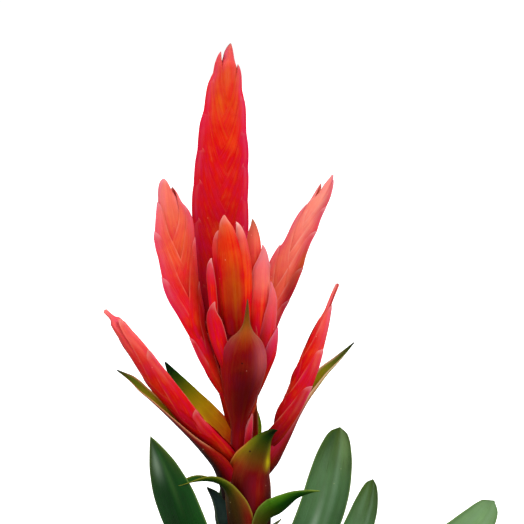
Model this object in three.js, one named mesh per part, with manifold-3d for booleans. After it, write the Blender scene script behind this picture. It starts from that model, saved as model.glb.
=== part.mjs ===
// A branched bromeliad (tillandsia hybrid), bare, standing on the flat cut foot of its stem.
// Units are millimetres, +Z is up, and the origin is the centre of the flat cut foot.
// The front of the plant faces -Y, and +X is to its right.
import * as THREE from 'three';
import Module from 'manifold-3d';

const wasm = await Module();
wasm.setup();

// ------------------------------------------------------------------ driving dimensions
const FOOT_RADIUS = 10.0;         // flat cut foot of the stem
const SCAPE_RADIUS = 4.2;         // flower stem below the flower head
const RACHIS_RADIUS = 1.7;        // axis of the top spike, at its lower end
const TIP_RADIUS = 0.9;           // axis of the top spike, at its upper end
const LEAF_THICKNESS = 0.8;
const SHEATH_ANGLE = 57;          // half angle that a leaf sheath wraps round the stem
const GAP = 0.3;                  // clearance between neighbouring pieces
const TRIM_TOLERANCE = 0.08;      // small facets below this height are merged
const BRACT_WALL = 0.35;          // wall of a floral bract of the top spike

// the stem's centre line, foot to tip
const STEM = [[0, 0, 0], [0.3, 0, 40], [1, 0, 80], [1.4, 0, 120], [0, 0, 155], [-4.6, 0, 185.2], [-7.1, 0, 211.3], [-10.9, 1, 243.7], [-14.1, 1, 276.1], [-17, 2, 308.2], [-18.2, 2, 333.9], [-17.8, 3, 359.5], [-16.5, 3, 385], [-14.9, 4, 410.4], [-13.3, 4, 429.5]];

// flat spikes: centre line, turn of the flat face about the upright, and bracts [side, foot, tip, tip distance]
const SPIKES = [
  { name: 'top_spike', yaw: 8, open0: 2.3, open: 0.072, r0: 2.2,
    axis: [[-4.6, 0, 185.2], [-7.1, 0, 211.3], [-10.9, 1, 243.7], [-14.1, 1, 276.1], [-17, 2, 308.2], [-18.2, 2, 333.9], [-17.8, 3, 359.5], [-16.5, 3, 385], [-14.9, 4, 410.4], [-13.3, 4, 429.5], [-12.3, 4, 439.6]],
    bracts: [[-1, 27.5, 81.5, 16.5], [1, 41.7, 96.7, 10.9], [-1, 49.1, 106.1, 17.4], [1, 61.1, 119.1, 14.6],
      [-1, 69.5, 129.5, 17.3], [1, 79.8, 140.8, 16.4], [-1, 86.4, 147.4, 17.3], [1, 100.1, 161.1, 16.1],
      [-1, 110.7, 170.7, 17.1], [1, 122.9, 181.9, 15.8], [-1, 132.8, 190.8, 15.5], [1, 146.6, 202.6, 14.1],
      [-1, 159.7, 213.7, 13], [1, 172.8, 224.8, 10.1], [-1, 184.8, 234.8, 9.4], [1, 196.7, 243.7, 5.9],
      [-1, 206.4, 250.4, 4.4], [1, 213.9, 255.9, 0.4]] },
  { name: 'left_spike', yaw: 34, open0: 2, open: 0.075, r0: 1.6,
    axis: [[-10, -2, 192.1], [-16.7, -7, 214.4], [-26.8, -9, 237.4], [-33.1, -11, 253.8], [-37.5, -12, 264.8], [-44.3, -14, 288.8], [-48, -15, 313.1], [-51.7, -15, 334.1], [-54.5, -14, 354.9]],
    bracts: [[1, 5.9, 65.9, 12.2], [-1, 7.4, 69.4, 5.6], [1, 40.3, 100.3, 17.1], [-1, 44.8, 110.8, 12.2],
      [1, 70.1, 128.1, 16.8], [-1, 73.6, 139.6, 11.7], [1, 100.1, 152.1, 12.9], [-1, 100.7, 156.7, 6.3],
      [1, 121.4, 165.4, 5.6], [-1, 124.9, 170.9, 0.7]] },
  { name: 'right_spike', yaw: -20, open0: 2, open: 0.075, r0: 1.6,
    axis: [[-0.1, 2.5, 190], [1.9, 4, 212.6], [7.1, 5, 243.1], [15.4, 6, 272.2], [23.8, 6, 296.2], [30.2, 6, 312.3], [37.2, 6, 329.1], [44.2, 6, 341.9], [53.1, 6, 356.4]],
    bracts: [[-1, 6.2, 66.2, 2.8], [1, 30.7, 90.7, 9.2], [-1, 47.3, 109.3, 11], [1, 55.9, 117.9, 10.5],
      [-1, 64.9, 122.9, 8.3], [1, 79.4, 139.4, 10], [-1, 98.7, 148.7, 5.2], [1, 103.5, 157.5, 8.1],
      [1, 122.8, 174.8, 4], [-1, 124.8, 168.8, 4], [1, 135.8, 177.8, 0.8]] },
  { name: 'low_left_spike', yaw: -48, open0: 1.9, open: 0.08, r0: 1.6,
    axis: [[-8.4, -4, 170.3], [-14.8, -8, 178.9], [-24.3, -11, 188.5], [-35.1, -14, 198.8], [-47.1, -17, 213.5], [-59.6, -19, 229.3], [-72.7, -21, 248.1], [-80.8, -22, 259.8], [-86.4, -23, 267.2], [-91.6, -23, 272.3]],
    bracts: [[1, 5, 50, 8.5], [-1, 10, 58, 8.5], [-1, 24, 84, 9], [1, 29, 97, 8],
      [-1, 44, 118, 5], [1, 52.5, 134.5, 0.5]] },
  { name: 'low_right_spike', yaw: -60, open0: 1.9, open: 0.07, r0: 1.6,
    axis: [[4.5, -3, 172.7], [10.9, -5, 182.9], [17.3, -6, 192.8], [25, -7, 207.3], [32.7, -8, 225], [39, -8, 242.4], [44.7, -8, 257.9], [50.4, -8, 274], [56.4, -8, 288.7]],
    bracts: [[-1, 4, 48, 7.5], [1, 11, 61, 8], [-1, 24, 80, 7.5], [1, 35, 97, 7.5],
      [-1, 51, 113, 4], [-1, 57, 127, 0.5], [1, 60, 120, 3]] },
  { name: 'inner_right_spike', yaw: -32, open0: 2, open: 0.07, r0: 1.6,
    axis: [[-1, -4.5, 200.4], [3.2, -8, 217.8], [7.1, -11, 239], [8.3, -14, 261.9], [7.1, -17, 284.7], [4.9, -20, 307.2], [2, -22, 330.2]],
    bracts: [[-1, -19.7, 30.3, 5.2], [-1, 0.3, 58.3, 9.7], [1, 2.4, 62.4, 10.6], [1, 33.8, 93.8, 8.8],
      [-1, 34.7, 88.7, 10.2], [1, 62, 116, 4.2], [-1, 69.5, 115.5, 7.8], [1, 88.5, 132.5, 0]] },
  { name: 'front_spike', yaw: 28, open0: 2, open: 0.078, r0: 1.6,
    axis: [[-5.1, -6, 191.5], [-5.7, -10, 213], [-8.2, -15, 239.6], [-10.7, -20, 265.9], [-11.8, -25, 285.6], [-13, -30, 305.1], [-14.2, -34, 320.6], [-15.5, -37, 334]],
    bracts: [[1, 15.1, 75.1, 9.2], [-1, 35.1, 91.1, 11.9], [1, 45.2, 105.2, 14.4], [-1, 58.7, 120.7, 12.8],
      [-1, 72.5, 146.5, 0.4], [-1, 78, 138, 5.9], [1, 84.3, 140.3, 7.4]] },
  { name: 'back_spike', yaw: 8, open0: 2.2, open: 0.07, r0: 2,
    axis: [[-2, 5.5, 196], [-4, 12, 214], [-6, 21, 236], [-8, 29, 262], [-10, 35, 288], [-12, 40, 314]],
    bracts: [[-1, 14, 66, 10.5], [1, 22, 78, 11], [-1, 33, 88, 10.5], [1, 43, 97, 10],
      [-1, 53, 105, 9], [1, 62, 112, 7.5], [-1, 70, 118, 5.5], [1, 77, 123, 2]] },
];

// bracts of the flower stem: keel line, rows [t, half chord, half angle], and the side that faces inwards
const SHEETS = [
  { name: 'primary_bract_front', thickness: 0.7, keel: 0.06, inner0: [0, 1, 0.1], inner1: [0, 1, 0.1],
    spine: [[-8.4, -7.5, 178.8], [-7.7, -10, 193.5], [-6.3, -17, 214.1], [-4.3, -25, 233.4], [-3, -31, 248.3], [-2.3, -35, 259], [-1.7, -38, 269.5], [-1.3, -40, 281.7]],
    rows: [[0, 4.2, 80], [0.14, 4.6, 80], [0.34, 10, 66], [0.43, 12.8, 62], [0.52, 15.4, 58], [0.63, 17.6, 54], [0.7, 16.6, 50], [0.75, 13, 48], [0.79, 8.5, 45], [0.83, 5, 42], [0.875, 2.6, 40], [0.93, 1.4, 35], [1, 0.4, 30]] },
  { name: 'primary_bract_low_left', thickness: 0.7, keel: 0.12, inner0: [0.5, 0.5, 0.75], inner1: [0.45, -0.55, 0.75],
    spine: [[-6.4, -9, 158.2], [-18, -10, 164.9], [-28.8, -10.5, 176.1], [-38.4, -12, 187.4], [-49.7, -15, 200.3], [-63.6, -18, 215], [-75.5, -20, 227.5], [-84.9, -21, 234.1]],
    rows: [[0, 9.5, 80], [0.15, 10.5, 75], [0.35, 10.5, 65], [0.55, 8.6, 58], [0.72, 6.8, 52], [0.85, 4.2, 45], [0.94, 2, 40], [1, 0.4, 30]] },
  { name: 'primary_bract_low_right', thickness: 0.7, keel: 0.12, inner0: [-0.6, 0.3, 0.7], inner1: [-0.7, -0.35, 0.6],
    spine: [[7.7, -6, 152.4], [13.5, -5, 161.3], [21.2, -4, 177.5], [28.3, -3, 193.6], [36.7, -1, 210.9], [47, 1, 226.2], [57.3, 3, 237.6], [67.6, 4, 248.5]],
    rows: [[0, 9, 80], [0.15, 10, 75], [0.33, 9.5, 66], [0.52, 8.6, 58], [0.7, 7.2, 52], [0.84, 4.6, 45], [0.94, 2.2, 40], [1, 0.4, 30]] },
  { name: 'primary_bract_left', thickness: 0.7, keel: 0.08, inner0: [0.7, -0.7, 0.5], inner1: [0.5, -0.85, 0.5],
    spine: [[-7.9, 9, 175.7], [-16.4, 12, 184.4], [-27.5, 15, 195], [-39.2, 18, 207.1], [-49, 20, 220.6], [-55.9, 22, 233.1]],
    rows: [[0, 6.5, 70], [0.2, 8.2, 60], [0.45, 9, 48], [0.65, 7.6, 42], [0.82, 5, 38], [0.93, 2.4, 34], [1, 0.4, 30]] },
  { name: 'primary_bract_inner_right', thickness: 0.7, keel: 0.1, inner0: [-1, 0.2, 0.1], inner1: [-1, 0.1, 0.1],
    spine: [[3.8, -4, 178.1], [3.8, -3.5, 185.9], [4.2, -3, 195.6], [4.2, -3, 204]],
    rows: [[0, 4.2, 85], [0.35, 4.8, 78], [0.7, 3.4, 60], [1, 0.5, 30]] },
  { name: 'primary_bract_right', thickness: 0.7, keel: 0.1, inner0: [-0.1, -1, 0.1], inner1: [-0.1, -1, 0.2],
    spine: [[1.2, 9, 177], [4.4, 13, 184.2], [5.4, 17, 192.7], [3.5, 22, 203.1]],
    rows: [[0, 5.5, 70], [0.35, 7, 60], [0.7, 4.2, 48], [0.9, 1.8, 40], [1, 0.4, 30]] },
  { name: 'scape_bract_front', thickness: 0.8, keel: 0.08, inner0: [0.1, 1, 0.1], inner1: [-0.3, 0.7, 0.6],
    spine: [[0, -15, 129.5], [0.3, -15.5, 145.9], [1.3, -15, 162], [3.9, -15, 175], [9, -17, 186.4], [14.1, -20, 193.4], [17.7, -25, 195.8]],
    rows: [[0, 13, 85], [0.2, 14, 80], [0.42, 15.5, 72], [0.6, 14, 60], [0.74, 10, 50], [0.86, 6, 45], [0.95, 2.4, 40], [1, 0.5, 30]] },
  { name: 'scape_bract_left', thickness: 0.8, keel: 0.08, inner0: [0.55, 0.8, 0.2], inner1: [0.1, 0.35, 0.9],
    spine: [[-4.5, -16, 123.2], [-7.7, -16.5, 136.3], [-12.1, -18, 146.4], [-18.5, -20, 155.3], [-27.3, -22, 161.2], [-36.2, -23, 162], [-44.5, -24, 160]],
    rows: [[0, 13, 80], [0.2, 13, 72], [0.4, 11, 60], [0.58, 8.2, 48], [0.75, 5.6, 42], [0.9, 2.8, 38], [1, 0.4, 30]] },
  { name: 'scape_bract_right', thickness: 0.8, keel: 0.08, inner0: [-0.5, 0.8, 0.2], inner1: [-0.1, 0.35, 0.9],
    spine: [[3.2, -16.5, 120], [7.7, -17, 132.5], [12.8, -19, 144.7], [19.8, -21, 150.3], [27.5, -22, 153.4], [35.7, -23, 155.5], [45.6, -24, 156.3]],
    rows: [[0, 13, 80], [0.2, 13, 72], [0.4, 10, 60], [0.58, 7.6, 48], [0.75, 5, 42], [0.9, 2.4, 38], [1, 0.4, 30]] },
  { name: 'primary_bract_back', thickness: 0.7, keel: 0.08, inner0: [0.1, -1, 0.1], inner1: [0.3, -0.9, 0.5],
    spine: [[-2, 7.6, 178], [-3.5, 12, 196], [-6, 20, 214], [-10, 27, 232], [-15, 33, 248]],
    rows: [[0, 6.5, 70], [0.3, 8.2, 60], [0.6, 7.4, 50], [0.82, 4.6, 42], [0.94, 2, 36], [1, 0.4, 30]] },
  { name: 'scape_bract_back', thickness: 0.7, keel: 0.08, inner0: [0.139, -0.99, 0.1], inner1: [0.07, -0.495, 0.8],
    spine: [[-1, 7.3, 138], [-1.1, 7.7, 156.9], [-1.3, 9.5, 171.5], [-1.9, 13.9, 183.4], [-2.7, 19.2, 190.4]],
    rows: [[0, 6.975, 86], [0.3, 7.5, 80], [0.55, 6.45, 66], [0.75, 4.65, 54], [0.9, 2.25, 44], [1, 0.4, 30]] },
  { name: 'scape_bract_low_right', thickness: 0.7, keel: 0.08, inner0: [-0.978, -0.208, 0.1], inner1: [-0.489, -0.104, 0.8],
    spine: [[8, 1.7, 84], [8.4, 1.8, 101.5], [10.2, 2.2, 115], [15, 3.2, 126], [20.7, 4.4, 132.5]],
    rows: [[0, 6.975, 86], [0.3, 7.5, 80], [0.55, 6.45, 66], [0.75, 4.65, 54], [0.9, 2.25, 44], [1, 0.4, 30]] },
  { name: 'scape_bract_low_back', thickness: 0.7, keel: 0.08, inner0: [0.469, -0.883, 0.1], inner1: [0.235, -0.441, 0.8],
    spine: [[-4, 7.6, 92], [-4.2, 7.9, 112.3], [-5.1, 9.5, 128], [-7.9, 14.9, 140.7], [-11.1, 20.8, 148.3]],
    rows: [[0, 6.975, 86], [0.3, 7.5, 80], [0.55, 6.45, 66], [0.75, 4.65, 54], [0.9, 2.25, 44], [1, 0.4, 30]] },
  { name: 'scape_bract_low_left', thickness: 0.7, keel: 0.08, inner0: [0.8, -0.4, 0.3], inner1: [0.5, -0.3, 0.8],
    spine: [[-6.6, 0.5, 102.2], [-10.5, 1.5, 113.9], [-13.7, 3, 126.8], [-18.3, 5.5, 139.5], [-23.5, 8, 147.5], [-28.7, 9.5, 152.5]],
    rows: [[0, 8, 82], [0.3, 8, 74], [0.55, 6.8, 62], [0.75, 4.9, 52], [0.9, 2.6, 42], [1, 0.4, 30]] },
  { name: 'scape_bract_low_front', thickness: 0.7, keel: 0.08, inner0: [0.139, 0.99, 0.1], inner1: [0.07, 0.495, 0.8],
    spine: [[-1.3, -9.3, 62], [-1.4, -9.7, 80.9], [-1.6, -11.5, 95.5], [-2.3, -16.4, 107.4], [-3.1, -22.2, 114.4]],
    rows: [[0, 6.975, 86], [0.3, 7.5, 80], [0.55, 6.45, 66], [0.75, 4.65, 54], [0.9, 2.25, 44], [1, 0.4, 30]] },
];

// rosette leaves, inner ones first
const LEAVES = [
  { name: 'leaf_01', azimuth: 109, sweep: 18.8, length: 140.6, radius: 11.6, foot: 14, width: 15, twist: 0, point: 1, lift: [90, 86.2, 79, 77.2, 73.6, 65.3] },
  { name: 'leaf_02', azimuth: 205.7, sweep: -3.1, length: 190.1, radius: 12.55, foot: 13.25, width: 14.5, twist: 58, point: 1.5, lift: [90, 82.2, 66.9, 67.7, 71.4, 69] },
  { name: 'leaf_03', azimuth: 318, sweep: 0, length: 165, radius: 13.5, foot: 12.5, width: 15.5, twist: 0, point: 1, lift: [90, 84, 60, 38, 6, -18] },
  { name: 'leaf_04', azimuth: 36.2, sweep: -2.2, length: 185.8, radius: 14.45, foot: 11.75, width: 15.5, twist: 40, point: 0.8, lift: [90, 82.8, 62.3, 62.4, 74.9, 76.6] },
  { name: 'leaf_05', azimuth: 2.9, sweep: -1.5, length: 165.6, radius: 15.4, foot: 11, width: 13.5, twist: 42, point: 1, lift: [90, 75.1, 53.1, 53.9, 69.9, 83.6] },
  { name: 'leaf_06', azimuth: 160, sweep: -4, length: 185, radius: 16.35, foot: 10.25, width: 16.5, twist: 0, point: 1, lift: [90, 83, 57, 30, -2, -26] },
  { name: 'leaf_07', azimuth: 268, sweep: 2, length: 182, radius: 17.3, foot: 9.5, width: 16.5, twist: 0, point: 1, lift: [90, 82, 56, 31, 0, -26] },
  { name: 'leaf_08', azimuth: 68, sweep: 0, length: 192, radius: 18.25, foot: 8.75, width: 17, twist: 0, point: 1, lift: [90, 80, 48, 22, -10, -34] },
  { name: 'leaf_09', azimuth: 343.9, sweep: -1.1, length: 217.4, radius: 22.05, foot: 5.75, width: 15.5, twist: 18, point: 0.8, lift: [90, 75.3, 37, 24.7, 40, 62.2] },
  { name: 'leaf_10', azimuth: 222, sweep: -3, length: 205, radius: 20.15, foot: 7.25, width: 17, twist: 0, point: 1, lift: [90, 79, 48, 8, -26, -46] },
  { name: 'leaf_11', azimuth: 106, sweep: -3, length: 226, radius: 21.1, foot: 6.5, width: 17.5, twist: 0, point: 1, lift: [90, 77, 36.3, -22.6, -81.1, -90.4] },
  { name: 'leaf_12', azimuth: 308, sweep: 0, length: 232, radius: 19.2, foot: 8, width: 17.5, twist: 0, point: 1, lift: [90, 77, 37.8, -24.9, -85.8, -96.7] },
  { name: 'leaf_13', azimuth: 180, sweep: 3, length: 224, radius: 23, foot: 5, width: 17.5, twist: 0, point: 1, lift: [90, 76, 35.8, -21.8, -75.5, -85.4] },
  { name: 'leaf_14', azimuth: 39, sweep: -2, length: 222, radius: 23.95, foot: 4.25, width: 17.5, twist: 0, point: 1, lift: [90, 75, 35.2, -21.2, -72.4, -82.6] },
  { name: 'leaf_15', azimuth: 262, sweep: 2, length: 220, radius: 24.9, foot: 3.5, width: 17.5, twist: 0, point: 1, lift: [90, 74, 33.5, -20.4, -68.8, -77.3] },
  { name: 'leaf_16', azimuth: 136, sweep: 4, length: 218, radius: 25.85, foot: 2.75, width: 17.5, twist: 0, point: 1, lift: [90, 73, 31.9, -19.7, -65.4, -72.3] },
  { name: 'leaf_17', azimuth: 334, sweep: 2, length: 216, radius: 26.8, foot: 2, width: 17.5, twist: 0, point: 1, lift: [90, 72, 30.2, -19.2, -62.3, -67.5] },
];

// ------------------------------------------------------------------ small vector helpers
const add = (a, b, k = 1) => [a[0] + b[0] * k, a[1] + b[1] * k, a[2] + b[2] * k];
const sub = (a, b) => [a[0] - b[0], a[1] - b[1], a[2] - b[2]];
const dot = (a, b) => a[0] * b[0] + a[1] * b[1] + a[2] * b[2];
const cross = (a, b) => [a[1] * b[2] - a[2] * b[1], a[2] * b[0] - a[0] * b[2], a[0] * b[1] - a[1] * b[0]];
const unit = (a) => { const l = Math.hypot(...a) || 1; return [a[0] / l, a[1] / l, a[2] / l]; };
const across = (a, t) => unit(add(a, t, -dot(a, t)));
const rad = (d) => d * Math.PI / 180;

// smooth curve through points, measured by chord length
function curve(P) {
  const n = P.length, c = [0];
  for (let i = 1; i < n; i++) c.push(c[i - 1] + Math.hypot(...sub(P[i], P[i - 1])));
  const m = P.map((_, i) => {
    const a = Math.max(i - 1, 0), b = Math.min(i + 1, n - 1);
    return sub(P[b], P[a]).map((v) => v / (c[b] - c[a]));
  });
  const length = c[n - 1];
  const at = (x) => {
    let over = 0;
    if (x < 0) { over = x; x = 0; } else if (x > length) { over = x - length; x = length; }
    let i = 0;
    while (i < n - 2 && c[i + 1] <= x) i++;
    const h = c[i + 1] - c[i], f = (x - c[i]) / h, f2 = f * f, f3 = f2 * f;
    const p = [0, 1, 2].map((k) => (2 * f3 - 3 * f2 + 1) * P[i][k] + (f3 - 2 * f2 + f) * h * m[i][k]
      + (-2 * f3 + 3 * f2) * P[i + 1][k] + (f3 - f2) * h * m[i + 1][k]);
    return over ? add(p, over < 0 ? m[0] : m[n - 1], over) : p;
  };
  const tangent = (x) => unit(sub(at(Math.min(x + 0.5, length)), at(Math.max(x - 0.5, 0))));
  return { length, at, tangent };
}

// smooth value between rows [t, a, b, ...], without overshoot
function profile(rows, k) {
  const t = rows.map((r) => r[0]), v = rows.map((r) => r[k]), n = t.length;
  const d = [];
  for (let i = 0; i < n - 1; i++) d.push((v[i + 1] - v[i]) / (t[i + 1] - t[i]));
  const m = v.map((_, i) => (i === 0 ? d[0] : i === n - 1 ? d[n - 2]
    : d[i - 1] * d[i] <= 0 ? 0 : 2 * d[i - 1] * d[i] / (d[i - 1] + d[i])));
  return (x) => {
    x = Math.min(Math.max(x, t[0]), t[n - 1]);
    let i = 0;
    while (i < n - 2 && t[i + 1] <= x) i++;
    const h = t[i + 1] - t[i], f = (x - t[i]) / h, f2 = f * f, f3 = f2 * f;
    return (2 * f3 - 3 * f2 + 1) * v[i] + (f3 - 2 * f2 + f) * h * m[i]
      + (-2 * f3 + 3 * f2) * v[i + 1] + (f3 - f2) * h * m[i + 1];
  };
}

// ------------------------------------------------------------------ closed solids
// loops: closed rings with the same number of points, point k facing point n-1-k across the ring.
// The first ring is capped, and the last one closes on a tip point.
function loft(loops, tip) {
  const n = loops[0].length, pts = loops.flat(), tri = [];
  for (let i = 0; i < loops.length - 1; i++) {
    for (let k = 0; k < n; k++) {
      const a = i * n + k, b = i * n + (k + 1) % n;
      // the two faces of a sheet are split along the same diagonals
      if (n % 2 === 0 && k >= n / 2) tri.push([a, b, a + n], [b, b + n, a + n]);
      else tri.push([a, b, b + n], [a, b + n, a + n]);
    }
  }
  for (let k = 0; k < Math.ceil(n / 2) - 1; k++) {
    const a = k, b = k + 1, c = n - 2 - k, d = n - 1 - k;
    tri.push([a, d, b]);
    if (b !== c) tri.push([b, d, c]);
  }
  const top = pts.length, base = (loops.length - 1) * n;
  pts.push(tip);
  for (let k = 0; k < n; k++) tri.push([base + k, base + (k + 1) % n, top]);
  let volume = 0;
  for (const [a, b, c] of tri) volume += dot(pts[a], cross(pts[b], pts[c]));
  if (volume < 0) for (const t of tri) t.reverse();
  return { pts, tri };
}

function solid({ pts, tri }) {
  return new wasm.Manifold(new wasm.Mesh({
    numProp: 3, vertProperties: new Float32Array(pts.flat()), triVerts: new Uint32Array(tri.flat()),
  }));
}

// a thin curved sheet: a leaf, or a bract. rows: [t, half chord, half angle of its channel in degrees]
function sheet(s, grow = 0) {
  const c = curve(s.spine), chord = profile(s.rows, 1), angle = profile(s.rows, 2);
  const nu = s.steps ?? 11, nv = s.sides ?? 4, loops = [];
  const th = s.thickness;
  for (let i = 0; i < nu; i++) {
    const t = i / nu * 0.985, x = t * c.length - (i === 0 ? grow : 0);
    const C = c.at(x), T = c.tangent(Math.max(x, 0));
    const twist = rad((s.twist ?? 0) * t * t * (3 - 2 * t));
    const mix = (a, b) => across(add(a.map((v) => v * (1 - t)), b, t), T);
    const N0 = s.side0 ? cross(mix(s.side0, s.side1), T) : mix(s.inner0, s.inner1), W0 = cross(T, N0);
    const N = add(N0.map((v) => v * Math.cos(twist)), W0, Math.sin(twist)), W = cross(T, N);
    const v = chord(t), a = rad(angle(t)), R = v / Math.sin(Math.min(a, Math.PI / 2));
    const reach = a + grow / R, outer = [], inner = [];
    for (let j = 0; j <= nv; j++) {
      const q = -1 + 2 * j / nv, b = reach * q;
      const p = add(add(C, W, R * Math.sin(b)), N, R * (1 - Math.cos(b)) + s.keel * v * Math.abs(q));
      const n = add(W.map((k) => -k * Math.sin(b)), N, Math.cos(b));
      const edge = 1 - 0.45 * Math.abs(q) ** 3;
      outer.push(add(p, n, -grow));
      inner.push(add(p, n, th * edge + grow));
    }
    loops.push([...outer, ...inner.reverse()]);
  }
  return loft(loops, c.at(c.length + grow));
}

// lens shaped section of a flat spike: half thickness at distance b from the axis
const lens = (b, F) => Math.max(1 - Math.abs(b / F) ** 2.2, 0) ** 0.8;
// where the edge of a floral bract lies, from past the axis at its foot to the keel at its tip
const MARGIN = profile([[0, -0.75], [0.34, -0.02], [0.52, 0.24], [0.7, 0.44], [0.84, 0.6], [0.93, 0.76], [1, 1]], 1);

// the outline that the bract tips of one side follow
function outline(s, side) {
  const rows = s.bracts.filter((b) => b[0] === side).map((b) => [b[2], b[3]]).sort((a, b) => a[0] - b[0]);
  return profile(rows.filter((r, i) => i === 0 || r[0] - rows[i - 1][0] > 1), 1);
}

// one keeled bract of a flat spike: [side, foot, tip, tip distance from the axis]
function keeled(s, bract, { thin = 0, grow = 0, steps = 8, half = 3 } = {}) {
  const [side, foot, top, out] = bract, L = top - foot, c = s.curve ?? (s.curve = curve(s.axis));
  const B0 = [Math.cos(rad(s.yaw)), Math.sin(rad(s.yaw)), 0], loops = [], E = outline(s, side);
  const place = (x, b, h) => {
    const C = c.at(x), T = c.tangent(Math.min(Math.max(x, 0), c.length));
    const B = across(B0, T), N = cross(T, B);
    return add(add(C, B, b), N, h);
  };
  for (let i = 0; i < steps; i++) {
    const u = 0.955 * (i / (steps - 1)) ** 0.9, x = foot + u * L - (i === 0 ? grow : 0);
    const F0 = s.r0 + Math.max(E(x) - s.r0, 0) * (1 - (1 - u) ** 2), F = F0 + grow;
    const G0 = s.open0 + s.open * u * L, G = G0 + grow, m0 = Math.min(MARGIN(u), 0.93), m = m0 - grow / F;
    const outer = [], inner = [];
    for (let j = -half; j <= half; j++) {
      const f = (Math.abs(j) / half) ** 1.2, b = F * (1 + (m - 1) * f);
      outer.push(place(x, side * b, Math.sign(j) * G * lens(b, F)));
      if (thin) {
        const b0 = F0 * (1 + (m0 - 1) * f), h0 = G0 * lens(b0, F0);
        const w = Math.min(thin, 0.4 * h0), k = Math.min(2 * thin, 0.4 * F0 * (1 - m0)) * (1 - f);
        inner.push(place(x, side * (b0 - k - 2 * grow * (1 - f)), Math.sign(j) * Math.max(h0 - w - grow, 0.02)));
      }
    }
    loops.push(thin ? [...outer, ...inner.reverse()] : outer);
  }
  return loft(loops, place(top + grow, side * out, 0));
}

// a round stem along a curve, flat at its foot
function stem(grow = 0) {
  const c = curve(STEM), sides = 10, n = 20, pts = [], tri = [];
  const radius = profile([[0, FOOT_RADIUS], [20, FOOT_RADIUS], [45, SCAPE_RADIUS + 1], [70, SCAPE_RADIUS],
    [150, SCAPE_RADIUS - 0.4], [180, 3.1], [205, 2.5], [235, RACHIS_RADIUS], [c.length, TIP_RADIUS]], 1);
  for (let i = 0; i < n; i++) {
    const x = c.length * i / n, C = c.at(x), T = i ? c.tangent(x) : [0, 0, 1];
    const A = across([1, 0, 0], T), B = cross(T, A), r = radius(x) + grow;
    for (let k = 0; k < sides; k++) {
      const a = 2 * Math.PI * k / sides;
      const p = add(add(C, A, r * Math.cos(a)), B, r * Math.sin(a));
      if (i === 0) p[2] = 0;
      pts.push(p);
    }
  }
  for (let i = 0; i < n - 1; i++) {
    for (let k = 0; k < sides; k++) {
      const a = i * sides + k, b = i * sides + (k + 1) % sides;
      tri.push([a, b, b + sides], [a, b + sides, a + sides]);
    }
  }
  const foot = pts.length, top = foot + 1;
  pts.push([0, 0, 0], c.at(c.length));
  for (let k = 0; k < sides; k++) {
    tri.push([(k + 1) % sides, k, foot], [(n - 1) * sides + k, (n - 1) * sides + (k + 1) % sides, top]);
  }
  return { pts, tri };
}

// ------------------------------------------------------------------ the pieces
// a rosette leaf runs up beside the stem, then lifts away from it: lift angles at the stations
const STATIONS = [0, 0.14, 0.35, 0.58, 0.8, 1];
function leafSpine(l) {
  const lift = profile(STATIONS.map((t, i) => [t, l.lift[i]]), 1), n = 40;
  const P = [[l.radius * Math.cos(rad(l.azimuth)), l.radius * Math.sin(rad(l.azimuth)), l.foot]];
  for (let i = 0; i < n; i++) {
    const s = (i + 0.5) / n, e = rad(lift(s)), a = rad(l.azimuth + l.sweep * s * s), d = l.length / n;
    P.push(add(P[i], [Math.cos(e) * Math.cos(a), Math.cos(e) * Math.sin(a), Math.sin(e)], d));
  }
  return P.filter((_, i) => i % 2 === 0);
}
function leafSheet(l) {
  const w = l.width, p = l.point ?? 1, a0 = rad(l.azimuth), a1 = rad(l.azimuth + l.sweep);
  const wrap = l.radius * Math.sin(rad(SHEATH_ANGLE));
  return {
    spine: leafSpine(l), thickness: LEAF_THICKNESS, keel: 0.04, steps: 10, sides: 4, twist: l.twist,
    side0: [Math.sin(a0), -Math.cos(a0), 0], side1: [Math.sin(a1), -Math.cos(a1), 0],
    rows: [[0, wrap, SHEATH_ANGLE], [0.1, wrap, SHEATH_ANGLE], [0.26, w * 0.78, 47], [0.45, w * 0.94, 38], [0.62, w, 31],
      [0.76, w * 0.93 ** p, 27], [0.87, w * 0.74 ** p, 24], [0.95, w * 0.42 ** p, 22], [1, 0.6, 20]],
  };
}

const pieces = [];   // { name, make(grow), colour }
const colours = {
  stem: 0x7a8a3a, leaf: 0x2f5a1c, scape: 0x4f5a18, primary: 0x8a1a1c, spike: 0xd8202a, floral: 0xe02a24,
};
pieces.push({ name: 'stem', make: (g) => stem(g), colour: colours.stem });

const top = SPIKES[0];
top.bracts.forEach((b, i) => pieces.push({
  name: `top_bract_${String(i + 1).padStart(2, '0')}`, colour: colours.floral, family: 'top',
  make: (g) => keeled(top, b, { thin: BRACT_WALL, grow: g, steps: 6, half: 2 }),
}));
for (const s of SPIKES.slice(1)) {
  pieces.push({
    name: s.name, colour: colours.spike, family: 'side',
    join: (g) => s.bracts.map((b) => keeled(s, b, { grow: g, steps: 4, half: 2 })),
  });
}
for (const s of SHEETS) {
  pieces.push({
    name: s.name, colour: s.name.startsWith('scape') ? colours.scape : colours.primary, family: 'bract',
    make: (g) => sheet({ ...s, steps: 9, sides: 4 }, g),
  });
}
for (const l of LEAVES) {
  const s = leafSheet(l);
  pieces.push({ name: l.name, colour: colours.leaf, family: 'leaf', make: (g) => sheet(s, g) });
}

function body(p, g) {
  if (!p.join) return solid(p.make(g));
  return p.join(g).map(solid).reduce((a, b) => a.add(b));
}
const boxOf = (m) => { const b = m.boundingBox(); return [b.min, b.max].map((v) => [...v]); };
const meet = (a, b) => [0, 1, 2].every((k) => a[0][k] < b[1][k] && b[0][k] < a[1][k]);

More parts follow.
